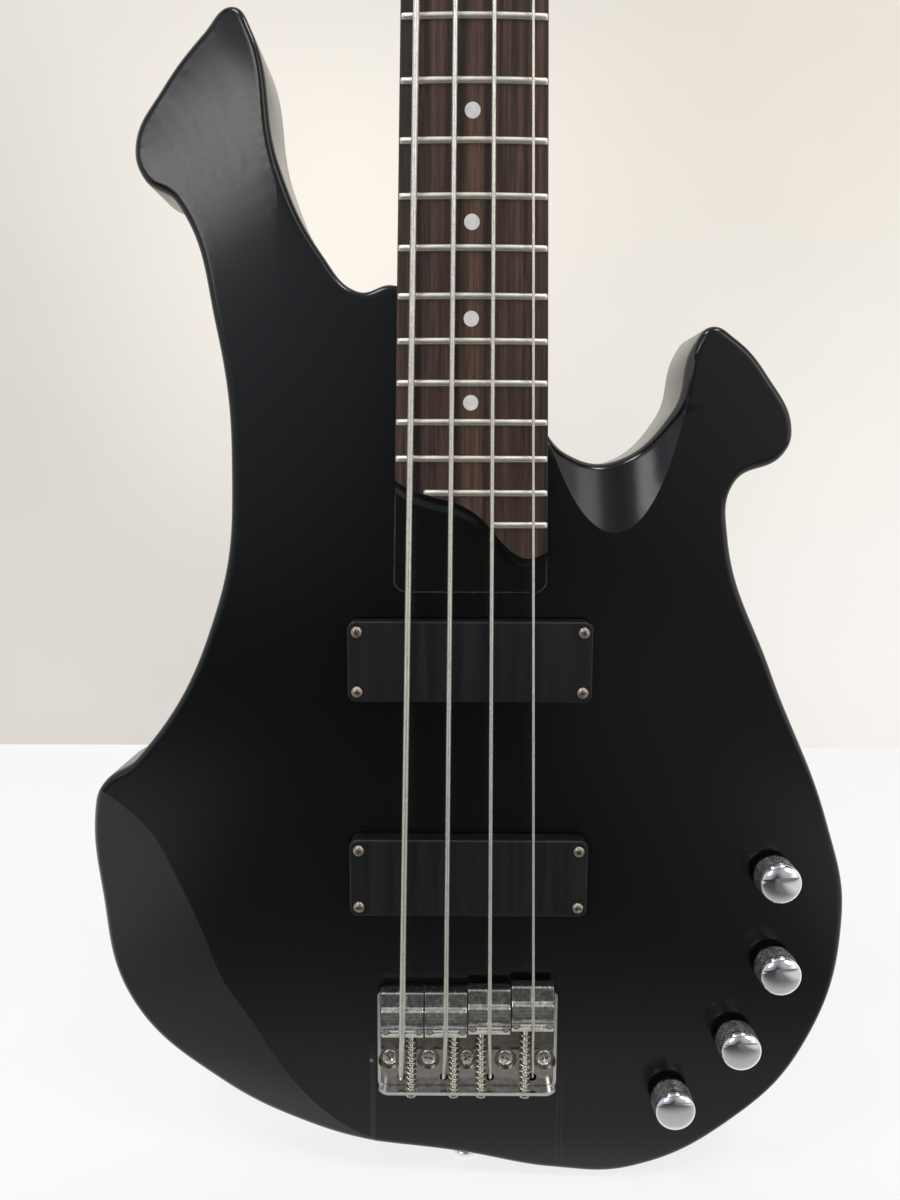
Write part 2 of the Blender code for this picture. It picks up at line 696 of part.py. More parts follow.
def make_body(face):
    mesh = outline_mesh("body", body_outline(), -BODY_THICKNESS, 0, resolution=2)
    body = add_mesh("body", mesh, face, "black_paint")
    round_edges(body, BODY_EDGE_RADIUS, 2, 50)

    cut(body, bevel_cutter("forearm_cut", FOREARM, face))
    cut(body, bevel_cutter("horn_cut", HORN_BEVEL, face))

    lean = math.radians(SCOOP_LEAN)
    radius = SCOOP_RADIUS * MM
    apex = in_metres((SCOOP_APEX,))[0]
    rise = radius / math.cos(lean)
    turn = (math.pi / 2 - lean, 0, math.radians(SCOOP_YAW))
    cut(body, rod_cutter("scoop_cut", radius, *SCOOP_REACH, face, (*apex, rise), turn, 48))

    lean = math.radians(BELLY_LEAN)
    radius = BELLY_RADIUS * MM
    fade = in_metres((BELLY_FADE,))[0]
    drop = -BODY_THICKNESS - radius / math.cos(lean)
    cut(body, rod_cutter("belly_cut", radius, *BELLY_REACH, face, (*fade, drop),
                         (0, lean - math.pi / 2, 0), 96))

    pocket = outline_mesh("pocket_cut", heel_outline(SEAT_GAP, POCKET_END), POCKET_FLOOR,
                          CUT_PAST, rounded=False)
    cut(body, add_mesh("pocket_cut", pocket, face, None))

    rout_floor = PICKUP_TOP - PICKUP_DEPTH - ROUT_BELOW_PICKUP
    for place, s in PICKUP_S.items():
        plan = rounded_rectangle(PICKUP_WIDTH + 2 * ROUT_GAP, PICKUP_LENGTH + 2 * ROUT_GAP,
                                 PICKUP_CORNER + ROUT_GAP, (0, s))
        rout = outline_mesh("rout_" + place, plan, rout_floor, CUT_PAST, rounded=False)
        cut(body, add_mesh("rout_" + place, rout, face, None))
        for side in (-1, 1):
            for end in (-1, 1):
                at = (side * PICKUP_SCREW_X, s + end * PICKUP_SCREW_S, 0)
                low = PICKUP_TOP - PICKUP_SCREW_LENGTH - SEAT_GAP
                cut(body, rod_cutter("pickup_pilot", PICKUP_SCREW_RADIUS + SEAT_GAP, low,
                                     rout_floor + CUT_PAST, face, at, sides=4))

    back = -BODY_THICKNESS
    cavity = outline_mesh("cavity_cut", in_metres(CAVITY), back - CUT_PAST, CAVITY_ROOF,
                          resolution=2)
    cut(body, add_mesh("cavity_cut", cavity, face, None))
    recess = outline_mesh("cover_recess", grown(CAVITY, COVER_LEDGE + SEAT_GAP),
                          back - CUT_PAST, back + COVER_THICKNESS + SEAT_GAP, resolution=2)
    cut(body, add_mesh("cover_recess", recess, face, None))
    for at in cover_screw_places():
        cut(body, rod_cutter("cover_pilot", COVER_SCREW_RADIUS + SEAT_GAP, back - CUT_PAST,
                             back + COVER_SCREW_LENGTH + SEAT_GAP, face, at, sides=6))

    for x, s in KNOB_AT:
        cut(body, rod_cutter("pot_hole", POT_BUSH_RADIUS + SEAT_GAP, CAVITY_ROOF - CUT_PAST,
                             CUT_PAST, face, (x, s, 0), sides=12))

    for x in plate_screw_places():
        cut(body, rod_cutter("plate_pilot", PLATE_SCREW_RADIUS + SEAT_GAP,
                             -PLATE_SCREW_LENGTH - SEAT_GAP, CUT_PAST, face,
                             (x, PLATE_SCREW_S, 0), sides=6))
    for x in anchor_places():
        cut(body, rod_cutter("ball_pocket", BALL_POCKET_RADIUS, -BALL_POCKET_DEPTH, CUT_PAST,
                             face, (x, ANCHOR_S, 0), sides=10))

    for x, s in neck_screw_places():
        cut(body, rod_cutter("neck_screw_hole", NECK_SCREW_RADIUS + SEAT_GAP,
                             back - CUT_PAST, POCKET_FLOOR + CUT_PAST, face,
                             (x, s, 0), sides=8))

    at = (RIGHT_EDGE - JACK_SPOT_DEPTH, JACK_S, -HALF_BODY)
    turn = (0, math.pi / 2, 0)
    cut(body, rod_cutter("jack_spot", JACK_FLANGE_RADIUS + SEAT_GAP, 0, CUT_PAST, face, at,
                         turn, 12))
    cut(body, rod_cutter("jack_hole", JACK_RADIUS + SEAT_GAP, -JACK_HOLE_DEPTH, CUT_PAST,
                         face, at, turn, 12))

    at = (0, -TAIL_DEPTH + BUTTON_SPOT_DEPTH, -HALF_BODY)
    turn = (math.pi / 2, 0, 0)
    screw_end = -BUTTON_SCREW_LENGTH - SEAT_GAP
    cut(body, rod_cutter("tail_spot", BUTTON_BASE_RADIUS + SEAT_GAP, 0, CUT_PAST, face, at,
                         turn, 14))
    cut(body, rod_cutter("tail_pilot", BUTTON_SCREW_RADIUS + SEAT_GAP, screw_end, CUT_PAST,
                         face, at, turn, 6))
    cut(body, rod_cutter("horn_pilot", BUTTON_SCREW_RADIUS + SEAT_GAP, screw_end, CUT_PAST,
                         face, (*HORN_BUTTON_AT, back), (math.pi, 0, 0), 6))


def grown(points, distance):
    """The outline points in mm moved outward by a distance in metres."""
    places = [Vector(point) for point in in_metres(points)]
    result = []
    for index, place in enumerate(places):
        before = places[index - 1]
        after = places[(index + 1) % len(places)]
        along = (after - before).normalized()
        outward = Vector((-along.y, along.x))
        result.append(tuple(place + outward * distance))
    return result


def cover_screw_places():
    ledge = grown(CAVITY, COVER_SCREW_OUT)
    return [(*ledge[corner], 0) for corner in COVER_SCREW_CORNERS]


def plate_screw_places():
    return [PLATE_SCREW_SPACING * step for step in range(-2, 3)]


def anchor_places():
    return [x + math.copysign(ANCHOR_SPLAY, x) for x in BRIDGE_STRING_X]


def neck_screw_places():
    return [(side * NECK_SCREW_X, NECK_PLATE_S + end * NECK_SCREW_S)
            for side in (-1, 1) for end in (-1, 1)]


def neck_ring(s, half, top, depth, power, points=10):
    """A section of the neck: flat on top, and from square to D-shaped below."""
    ring = []
    for step in range(points + 1):
        angle = math.pi * step / points
        across = math.copysign(abs(math.cos(angle)) ** power, math.cos(angle))
        down = math.sin(angle) ** power if 0 < step < points else 0
        ring.append(Vector((half * across, s, top - depth * down)))
    return ring


def head_to_face(point):
    """A point of the head frame in the face frame."""
    x, t, g = point
    cos = math.cos(HEAD_TILT)
    sin = math.sin(HEAD_TILT)
    return Vector((x, HEAD_S + t * cos + g * sin, WOOD_TOP - t * sin + g * cos))


def make_neck(face, head):
    rings = []
    for step in range(4):
        angle = math.pi / 2 * step / 3
        s = HEEL_END + HEEL_CORNER * (1 - math.cos(angle))
        half = neck_half(HEEL_END) - HEEL_CORNER * (1 - math.sin(angle))
        rings.append(neck_ring(s, half, WOOD_TOP, HEEL_DEPTH, HEEL_POWER))
    for s, depth, power in NECK_SHAFT:
        rings.append(neck_ring(s, neck_half(min(s, SCALE_LENGTH)), WOOD_TOP, depth, power))
    for t, half, depth, power in NECK_THROAT:
        ring = neck_ring(t, half, -HEAD_TOP_SINK, depth, power)
        rings.append([head_to_face(point) for point in ring])
    neck = add_mesh("neck", loft_mesh("neck", rings), face, "black_paint")
    smooth(neck, 30)

    ends = (0, 2 * len(HEAD_HALF))
    slab = outline_mesh("head_slab", mirrored(HEAD_HALF, HEAD_TIP), -HEAD_THICKNESS, 0,
                        sharp=ends, resolution=2)
    slab = add_mesh("head_slab", slab, head, None)
    round_edges(slab, HEAD_EDGE_RADIUS, 1, 60)
    join(neck, slab)

    cut(neck, end_cutter("heel_step_cut", -STEP_BEHIND_BOARD, HEEL_PROUD, CUT_PAST, face))

    width = ROD_WIDTH / 2 + SEAT_GAP
    floor = WOOD_TOP - SEAT_GAP - ROD_DEPTH - SEAT_GAP
    cut(neck, box_cutter("rod_channel", (-width, ROD_START - SEAT_GAP, floor),
                         (width, HEAD_S + ROD_CHANNEL_PAST_NUT, CUT_PAST), face))
    half_pocket = ROD_POCKET_WIDTH / 2
    cut(neck, box_cutter("rod_pocket", (-half_pocket, ROD_POCKET_START, -ROD_POCKET_DEPTH),
                         (half_pocket, ROD_POCKET_END, CUT_PAST), head))

    for x, t in zip(POST_X, POST_T):
        cut(neck, rod_cutter("tuner_hole", SLEEVE_RADIUS + SEAT_GAP,
                             -HEAD_THICKNESS - CUT_PAST, CUT_PAST, head, (x, t, 0), sides=12))
    tip = -BODY_THICKNESS + NECK_SCREW_LENGTH + SEAT_GAP
    for x, s in neck_screw_places():
        cut(neck, rod_cutter("neck_pilot", NECK_SCREW_RADIUS + SEAT_GAP, -BODY_THICKNESS,
                             tip, face, (x, s, 0), sides=8))
    cut(neck, rod_cutter("cover_hole", ROD_COVER_SCREW_RADIUS + SEAT_GAP,
                         -ROD_COVER_SCREW_LENGTH - SEAT_GAP, CUT_PAST, head,
                         (0, ROD_COVER_SCREW_T, 0), sides=6))


def end_cutter(name, shift, low, high, parent):
    """Everything towards the tail of the S-shaped board end, moved by shift."""
    curve = [(x, s + shift) for x, s in in_metres(BOARD_END)]
    first = curve[0]
    last = curve[-1]
    side = neck_half(HEEL_END) + CUT_PAST
    tail = HEEL_END - CUT_PAST
    corners = [(side, last[1]), (side, tail), (-side, tail), (-side, first[1])]
    points = curve + corners
    sharp = (0, *range(len(curve) - 1, len(points)))
    mesh = outline_mesh(name, points, low, high, sharp=sharp, resolution=2)
    return add_mesh(name, mesh, parent, None)


def fret_mesh():
    """All frets as arched bars, each one closed, that stand in the board."""
    work = bmesh.new()
    for number in range(1, FRET_COUNT + 1):
        s = fret_s(number)
        reach = neck_half(s) - FRET_END_INSET
        rows = []
        for x in (-reach, -neck_half(s) / 3, neck_half(s) / 3, reach):
            top = board_height(x, s)
            crown = FRET_WIDTH * FRET_CROWN
            section = ((-FRET_WIDTH / 2, -FRET_TANG), (-crown, FRET_HEIGHT),
                       (crown, FRET_HEIGHT), (FRET_WIDTH / 2, -FRET_TANG))
            rows.append([work.verts.new((x, s + along, top + up)) for along, up in section])
        for near, far in zip(rows, rows[1:]):
            for index in range(4):
                after = (index + 1) % 4
                work.faces.new((near[index], near[after], far[after], far[index]))
        work.faces.new(list(reversed(rows[0])))
        work.faces.new(rows[-1])
    bmesh.ops.recalc_face_normals(work, faces=work.faces)
    mesh = bpy.data.meshes.new("frets")
    work.to_mesh(mesh)
    work.free()
    return mesh


def make_fingerboard(face):
    low = WOOD_TOP + SEAT_GAP
    rings = []
    for s in (BOARD_UNCUT_END, SCALE_LENGTH - SEAT_GAP):
        half = neck_half(s)
        arch = [half * (step * 2 / 3 - 1) for step in range(4)]
        ring = [(x, s, board_height(x, s)) for x in arch]
        rings.append(ring + [(half, s, low), (-half, s, low)])
    board = add_mesh("fingerboard", loft_mesh("fingerboard", rings), face, "rosewood")
    smooth(board, 30)
    join(board, add_mesh("frets", fret_mesh(), face, None))
    cut(board, end_cutter("board_end_cut", 0, -CUT_PAST, 2 * CUT_PAST, face))


def make_nut(face):
    half = NUT_WIDTH / 2 - NUT_EDGE_INSET
    top = max(nut_string_h(index) for index in range(len(STRINGS))) + NUT_OVER_SLOT
    low = (-half, SCALE_LENGTH, WOOD_TOP + SEAT_GAP)
    high = (half, HEAD_S, top)
    nut = add_mesh("nut", box_mesh("nut", low, high), face, "nut_black")
    round_edges(nut, NUT_EDGE_RADIUS, 1, 60)
    for index, gauge in enumerate(STRING_GAUGE):
        x = nut_string_x(index)
        h = nut_string_h(index)
        slot = gauge / 2 + RUNNING_GAP
        cut(nut, box_cutter("nut_slot", (x - slot, SCALE_LENGTH - CUT_PAST, h - slot),
                            (x + slot, HEAD_S + CUT_PAST, top + CUT_PAST), face))


def make_truss_rod(face):
    top = WOOD_TOP - SEAT_GAP
    half = ROD_WIDTH / 2
    rod = add_mesh("truss_rod", box_mesh("truss_rod", (-half, ROD_START, top - ROD_DEPTH),
                                         (half, HEAD_S, top)), face, "steel")
    at = (0, HEAD_S, top - ROD_DEPTH + half)
    turn = (-math.pi / 2, 0, 0)
    middle = (ROD_NUT_START + ROD_NUT_END) / 2
    join(rod, rod_cutter("rod_end", ROD_END_RADIUS, -half, middle, face, at, turn, 8))
    join(rod, rod_cutter("rod_nut", ROD_NUT_RADIUS, ROD_NUT_START, ROD_NUT_END, face, at,
                         turn, 6))


def make_rod_cover(head):
    plan = mirrored(ROD_COVER_HALF, ROD_COVER_TIP)
    ends = (0, 2 * len(ROD_COVER_HALF))
    low = SEAT_GAP
    mesh = outline_mesh("truss_rod_cover", plan, low, low + ROD_COVER_THICKNESS, sharp=ends,
                        resolution=2)
    cover = add_mesh("truss_rod_cover", mesh, head, "cover_plastic")
    round_edges(cover, ROD_COVER_EDGE, 1, 60)
    radius = ROD_COVER_SCREW_RADIUS
    inside = low + ROD_COVER_THICKNESS / 2
    profile = ((0, ROD_COVER_SCREW_RISE), (radius, ROD_COVER_SCREW_RISE - SCREW_OVERLAP),
               (ROD_COVER_SCREW_HEAD, low + ROD_COVER_THICKNESS - SCREW_OVERLAP),
               (radius, inside), (radius, -ROD_COVER_SCREW_LENGTH),
               (0, -ROD_COVER_SCREW_LENGTH))
    join(cover, turned("cover_screw", profile, head, None, (0, ROD_COVER_SCREW_T, 0), steps=8))


def make_tuner(head, index):
    name = STRINGS[index]
    side = -1 if POST_X[index] < 0 else 1
    at = (POST_X[index], POST_T[index], 0)
    back = -HEAD_THICKNESS - SEAT_GAP
    half = CASE_WIDTH / 2
    low = (-half, CASE_SHIFT - CASE_LENGTH / 2, back - CASE_DEPTH)
    high = (half, CASE_SHIFT + CASE_LENGTH / 2, back)
    case = add_mesh("tuner_case_" + name, box_mesh("tuner_case_" + name, low, high), head,
                    "chrome", at)
    round_edges(case, CASE_EDGE_RADIUS, 1, 60)
    profile = ((0, COLLAR_HEIGHT), (COLLAR_TOP_RADIUS, COLLAR_HEIGHT),
               (COLLAR_RADIUS, SEAT_GAP), (SLEEVE_RADIUS, SEAT_GAP),
               (SLEEVE_RADIUS, back - SLEEVE_SINK), (0, back - SLEEVE_SINK))
    join(case, turned("sleeve", profile, head, None, at, steps=12))
    sink = back - POST_SINK
    cut(case, rod_cutter("post_bore", POST_RADIUS + RUNNING_GAP, sink - SEAT_GAP, CUT_PAST,
                         head, at, sides=12))
    key_g = back - CASE_DEPTH / 2
    key_t = POST_T[index] + KEY_OFFSET
    key_side = (POST_X[index] + side * half, key_t, key_g)
    turn = (0, side * math.pi / 2, 0)
    join(case, rod_cutter("boss", BOSS_RADIUS, -BOSS_LENGTH, BOSS_LENGTH, head, key_side,
                          turn, 8))
    cut(case, rod_cutter("key_bore", KEY_SHAFT_RADIUS + RUNNING_GAP, -KEY_SINK - SEAT_GAP,
                         CUT_PAST, head, key_side, turn, 8))

    cap = POST_CAP_RADIUS - POST_WAIST_RADIUS
    profile = ((0, POST_HEIGHT), (POST_CAP_RADIUS - cap / 2, POST_HEIGHT),
               (POST_CAP_RADIUS, POST_WAIST_HIGH + cap),
               (POST_WAIST_RADIUS, POST_WAIST_HIGH), (POST_WAIST_RADIUS, POST_WAIST_LOW),
               (POST_RADIUS, POST_WAIST_LOW - cap), (POST_RADIUS, sink), (0, sink))
    post = turned("tuner_post_" + name, profile, head, "chrome", at, steps=10)
    slot = box_mesh("post_slot", (-CUT_PAST, -POST_SLOT / 2, POST_HEIGHT - POST_SLOT_DEPTH),
                    (CUT_PAST, POST_SLOT / 2, POST_HEIGHT + CUT_PAST))
    cut(post, add_mesh("post_slot", slot, head, None, at))

    start = head_half_width(key_t) + KEY_EDGE_GAP
    inner = abs(POST_X[index]) + half - KEY_SINK - start
    origin = (side * start, key_t, key_g)
    shaft = ((0, KEY_STEM_SINK), (KEY_SHAFT_RADIUS, KEY_STEM_SINK), (KEY_SHAFT_RADIUS, inner),
             (0, inner))
    key = turned("tuner_key_" + name, shaft, head, "chrome", origin, turn, steps=8)
    paddle = add_mesh("paddle", paddle_mesh(), head, None, origin, turn)
    round_edges(paddle, KEY_EDGE_RADIUS, 1, 60)
    join(key, paddle)


def paddle_mesh():
    """The key's button, two rounded wings that leave its shaft."""
    half = KEY_WIDTH / 2
    right = [(half * across, KEY_LENGTH * along) for across, along in KEY_HALF]
    points = right + [(0, KEY_LENGTH)] + [(-x, s) for x, s in reversed(right)]
    mesh = outline_mesh("paddle", points, -KEY_THICKNESS / 2, KEY_THICKNESS / 2,
                        sharp=(0, len(points) - 1), resolution=2)
    mesh.transform(Matrix.Rotation(math.pi / 2, 4, "X"))
    return mesh


def head_half_width(t):
    """Half the headstock's width at distance t, read from its outline points."""
    points = in_metres(HEAD_HALF)
    for (x0, t0), (x1, t1) in zip(points, points[1:]):
        if t0 <= t <= t1:
            return x0 + (x1 - x0) * (t - t0) / (t1 - t0)
    return points[-1][0]


def make_pickup(face, place):
    s = PICKUP_S[place]
    name = "pickup_" + place
    plan = rounded_rectangle(PICKUP_WIDTH, PICKUP_LENGTH, PICKUP_CORNER, (0, s))
    mesh = outline_mesh(name, plan, PICKUP_TOP - PICKUP_DEPTH, PICKUP_TOP, rounded=False)
    pickup = add_mesh(name, mesh, face, "cover_plastic")
    round_edges(pickup, PICKUP_EDGE_RADIUS, 1, 60)
    corner = 0
    for end in (1, -1):
        for side in (-1, 1):
            corner += 1
            at = (side * PICKUP_SCREW_X, s + end * PICKUP_SCREW_S, PICKUP_TOP)
            cut(pickup, rod_cutter("screw_way", PICKUP_SCREW_RADIUS + SEAT_GAP,
                                   -PICKUP_DEPTH - CUT_PAST, CUT_PAST, face, at, sides=6))
            turned("%s_screw_%d" % (name, corner), pickup_screw_profile(), face, "steel", at,
                   steps=8)


def pickup_screw_profile():
    head = PICKUP_SCREW_HEAD
    radius = PICKUP_SCREW_RADIUS
    top = SEAT_GAP + PICKUP_SCREW_RISE
    return ((0, top), (head * 0.55, top - PICKUP_SCREW_RISE * 0.07),
            (head * 0.9, SEAT_GAP + PICKUP_SCREW_RISE / 2), (head, SEAT_GAP),
            (radius, SEAT_GAP), (radius, -PICKUP_SCREW_LENGTH + PICKUP_SCREW_TIP),
            (0, -PICKUP_SCREW_LENGTH))


def plate_plan(wall, rear_wall, front_corners):
    """The bridge plate's plan, drawn in by its walls: round corners behind."""
    half = PLATE_HALF_WIDTH - wall
    rear = PLATE_REAR + rear_wall
    radius = PLATE_REAR_CORNER - wall
    points = list(front_corners)
    points += corner_arc((-half + radius, rear + radius), radius, math.pi, 4)
    points += corner_arc((half - radius, rear + radius), radius, math.pi * 1.5, 4)
    return points


def make_bridge_plate(face):
    low = SEAT_GAP
    base = low + PLATE_BASE
    half = PLATE_HALF_WIDTH
    cut_x, cut_s = PLATE_FRONT_CUT
    corners = ((half, PLATE_FRONT - cut_s), (half - cut_x, PLATE_FRONT),
               (-half + cut_x, PLATE_FRONT), (-half, PLATE_FRONT - cut_s))
    plan = plate_plan(0, 0, corners)
    mesh = outline_mesh("bridge_plate", plan, low, PLATE_REAR_TOP, rounded=False)
    plate = add_mesh("bridge_plate", mesh, face, "chrome")

    inside = half - PLATE_SIDE_WALL
    wide = half + CUT_PAST
    front = PLATE_FRONT + CUT_PAST
    plan = plate_plan(PLATE_SIDE_WALL, PLATE_REAR_WALL, ((inside, front), (-inside, front)))
    tray = outline_mesh("tray_cut", plan, base + PLATFORM_RISE, PLATE_REAR_TOP + CUT_PAST,
                        rounded=False)
    cut(plate, add_mesh("tray_cut", tray, face, None))
    step = PLATE_REAR + PLATE_REAR_WALL + PLATE_REAR_STEP
    top = PLATE_REAR_TOP + CUT_PAST
    cut(plate, box_cutter("side_trim", (-wide, step, PLATE_SIDE_TOP), (wide, front, top), face))
    cut(plate, box_cutter("floor_cut", (-inside, PLATFORM_S, base), (inside, front, top), face))
    for x in plate_screw_places():
        cut(plate, rod_cutter("scallop", SCALLOP_RADIUS, base, top, face,
                              (x, PLATE_SCREW_S, 0), sides=12))
    for x in plate_screw_places():
        profile = ((0, base + PLATE_SCREW_RISE),
                   (PLATE_SCREW_HEAD * 0.7, base + PLATE_SCREW_RISE * 0.8),
                   (PLATE_SCREW_HEAD, base - SCREW_OVERLAP),
                   (PLATE_SCREW_RADIUS, low + SCREW_OVERLAP),
                   (PLATE_SCREW_RADIUS, -PLATE_SCREW_LENGTH + PLATE_SCREW_TIP),
                   (0, -PLATE_SCREW_LENGTH))
        join(plate, turned("plate_screw", profile, face, None, (x, PLATE_SCREW_S, 0), steps=8))
    for x in INTONATION_X:
        cut(plate, rod_cutter("screw_hole", INTONATION_RADIUS + RUNNING_GAP,
                              -PLATE_REAR_WALL - SEAT_GAP, CUT_PAST, face,
                              (x, PLATE_REAR, INTONATION_H), (math.pi / 2, 0, 0), 8))
    for x in anchor_places():
        cut(plate, rod_cutter("string_hole", ANCHOR_RADIUS, -CUT_PAST, CUT_PAST, face,
                              (x, ANCHOR_S, 0), sides=8))


def saddle_profile():
    """Side view of a saddle, along the string and up, from its ridge."""
    low = SEAT_GAP + PLATE_BASE + SADDLE_LIFT
    side = [(along * MM, SADDLE_RIDGE_TOP - down * MM) for along, down in SADDLE_SIDE]
    return [(SADDLE_REAR, low), (SADDLE_FRONT, low)] + side


def make_saddle(face, index):
    name = STRINGS[index]
    x = BRIDGE_STRING_X[index]
    s = SADDLE_RIDGE_S[index]
    mesh = outline_mesh("saddle_" + name, saddle_profile(), -SADDLE_WIDTH / 2,
                        SADDLE_WIDTH / 2, rounded=False)
    mesh.transform(Matrix(((0, 0, 1, 0), (1, 0, 0, 0), (0, 1, 0, 0), (0, 0, 0, 1))))
    saddle = add_mesh("saddle_" + name, mesh, face, "chrome", (x, s, 0))
    round_edges(saddle, SADDLE_EDGE, 1, 60)
    groove = STRING_GAUGE[index] / 2 + RUNNING_GAP
    centre = SADDLE_RIDGE_TOP + STRING_GAUGE[index] / 2 - SADDLE_GROOVE_SINK
    turn = (math.pi / 2, 0, 0)
    cut(saddle, rod_cutter("groove", groove, -2 * CUT_PAST, 2 * CUT_PAST, face,
                           (x, s, centre), turn, 8))
    low = SEAT_GAP + PLATE_BASE + SEAT_GAP
    for side in (-1, 1):
        place = (x + side * HEIGHT_SCREW_X, s - HEIGHT_SCREW_BACK, 0)
        socket = HEIGHT_SCREW_TOP - HEIGHT_SCREW_SOCKET
        profile = ((0, socket), (HEIGHT_SOCKET_RADIUS, socket),
                   (HEIGHT_SCREW_RADIUS, HEIGHT_SCREW_TOP), (HEIGHT_SCREW_RADIUS, low),
                   (0, low))
        join(saddle, turned("height_screw", profile, face, None, place, steps=6))
    cut(saddle, rod_cutter("intonation_bore", INTONATION_RADIUS + RUNNING_GAP,
                           -INTONATION_REACH - SADDLE_TRAVEL - SEAT_GAP, CUT_PAST, face,
                           (INTONATION_X[index], s + SADDLE_REAR, INTONATION_H), turn, 8))


def make_intonation(face, index):
    name = STRINGS[index]
    x = INTONATION_X[index]
    rear = SADDLE_RIDGE_S[index] + SADDLE_REAR
    seat = PLATE_REAR - SEAT_GAP
    tip = rear + INTONATION_REACH - seat
    head = INTONATION_HEAD
    end = -INTONATION_HEAD_LENGTH
    profile = ((0, tip), (INTONATION_RADIUS, tip), (INTONATION_RADIUS, 0), (head, 0),
               (head, end * 0.6), (head * 0.6, end), (0, end))
    at = (x, seat, INTONATION_H)
    turn = (-math.pi / 2, 0, 0)
    screw = turned("intonation_screw_" + name, profile, face, "steel", at, turn, steps=8)
    half = INTONATION_SLOT / 2
    slot = box_mesh("slot", (-head * 0.6, -half, end - CUT_PAST),
                    (head * 0.6, half, end + INTONATION_SLOT))
    cut(screw, add_mesh("slot", slot, face, None, at, turn))

    start = PLATE_REAR + PLATE_REAR_WALL + SEAT_GAP + SPRING_WIRE
    end = rear - SEAT_GAP - SPRING_WIRE
    points = spring_points(start, end)
    print("spring", name, "least gap to itself %.2f mm" % (least_gap(points, SPRING_WIRE) * 1e3))
    mesh = wire_mesh("spring_" + name, points, SPRING_WIRE)
    spring = add_mesh("spring_" + name, mesh, face, "steel", (x, 0, INTONATION_H))
    smooth(spring, 80)


def spring_points(start, end):
    points = []
    count = SPRING_CURLS * SPRING_STEPS
    for step in range(count + 1):
        angle = 2 * math.pi * step / SPRING_STEPS
        s = start + (end - start) * step / count
        points.append((SPRING_RADIUS * math.cos(angle), s, SPRING_RADIUS * math.sin(angle)))
    return points


def least_gap(points, radius, skip=6):
    """The least distance between turns, from tube surface to tube surface."""
    places = [Vector(point) for point in points]
    least = 1.0
    for index, place in enumerate(places):
        for other in places[index + skip:]:
            least = min(least, (place - other).length)
    return least - 2 * radius


def string_points(index):
    """The string's middle line from its ball to its last turn on the post."""
    gauge = STRING_GAUGE[index]
    radius = gauge / 2
    anchor = anchor_places()[index]
    x = BRIDGE_STRING_X[index]
    ridge = SADDLE_RIDGE_S[index]
    top = SADDLE_RIDGE_TOP + radius + 0.0001
    floor = -BALL_POCKET_DEPTH + SEAT_GAP
    bend = SEAT_GAP + PLATE_BASE + PLATFORM_RISE + radius + SEAT_GAP
    points = [(anchor, ANCHOR_S, floor), (anchor, ANCHOR_S, floor + 0.001),
              (anchor, ANCHOR_S, floor + BALL_LENGTH),
              (anchor, ANCHOR_S, floor + BALL_LENGTH + 0.0008), (anchor, ANCHOR_S, 0),
              (anchor, ANCHOR_S, bend)]
    swell = [0.6 * BALL_RADIUS / radius, BALL_RADIUS / radius, BALL_RADIUS / radius, 1, 1, 1]
    points += [(x, ridge - 0.0016, top - 0.0002), (x, ridge + 0.0008, top)]
    nut_x = nut_string_x(index)
    nut_h = nut_string_h(index)
    points += [(nut_x, SCALE_LENGTH + 0.001, nut_h), (nut_x, HEAD_S + 0.0002, nut_h)]
    swell += [1] * 4
    side = -1 if POST_X[index] < 0 else 1
    wind = POST_WAIST_RADIUS + radius + SEAT_GAP
    pitch = gauge + WIND_GAP
    coil = []
    for step in range(WIND_TURNS * WIND_STEPS + 1):
        angle = 2 * math.pi * step / WIND_STEPS
        across = POST_X[index] - side * wind * math.cos(angle)
        along = POST_T[index] + wind * math.sin(angle)
        up = WIND_START + radius + pitch * step / WIND_STEPS
        coil.append(head_to_face((across, along, up)))
    points += [tuple(place) for place in coil]
    swell += [1] * len(coil)
    return points, swell, coil


def make_string(face, index):
    name = STRINGS[index]
    points, swell, coil = string_points(index)
    radius = STRING_GAUGE[index] / 2
    gap = least_gap(coil, radius, WIND_STEPS // 2)
    print("string", name, "least gap between turns %.2f mm" % (gap * 1e3))
    mesh = wire_mesh("string_" + name, points, radius, swell)
    string = add_mesh("string_" + name, mesh, face, "string_steel")
    smooth(string, 80)


def make_knob(face, number, place):
    low = KNOB_LIFT
    recess = POT_NUT_RADIUS + KNOB_RECESS_ROOM
    dome = []
    for step in range(4):
        angle = math.pi / 2 * step / 3
        rise = (KNOB_HEIGHT - KNOB_DOME_START) * math.cos(angle)
        dome.append((KNOB_RADIUS * KNOB_DOME_INSET * math.sin(angle), KNOB_DOME_START + rise))
    profile = dome + [(KNOB_SKIRT_RADIUS, low), (recess, low), (recess, low + KNOB_RECESS),
                      (KNOB_SHAFT_RADIUS, low + KNOB_RECESS),
                      (KNOB_SHAFT_RADIUS, KNOB_SHAFT_END), (0, KNOB_SHAFT_END)]
    turned("knob_%d" % number, profile, face, "chrome", (*place, 0), steps=16)


def make_pot(face, number, place):
    roof = CAVITY_ROOF - SEAT_GAP
    bore = KNOB_SHAFT_RADIUS + RUNNING_GAP
    bore_low = KNOB_SHAFT_END - SEAT_GAP
    nut_top = SEAT_GAP + POT_NUT_HEIGHT
    floor = roof - POT_CAN_DEPTH
    profile = ((0, bore_low), (bore, bore_low), (bore, nut_top), (POT_NUT_RADIUS, nut_top),
               (POT_NUT_RADIUS, SEAT_GAP), (POT_BUSH_RADIUS, SEAT_GAP),
               (POT_BUSH_RADIUS, roof), (POT_RADIUS, roof),
               (POT_RADIUS, floor + POT_CAN_EDGE), (POT_RADIUS - POT_CAN_EDGE, floor),
               (0, floor))
    turned("pot_%d" % number, profile, face, "steel", (*place, 0), steps=10)


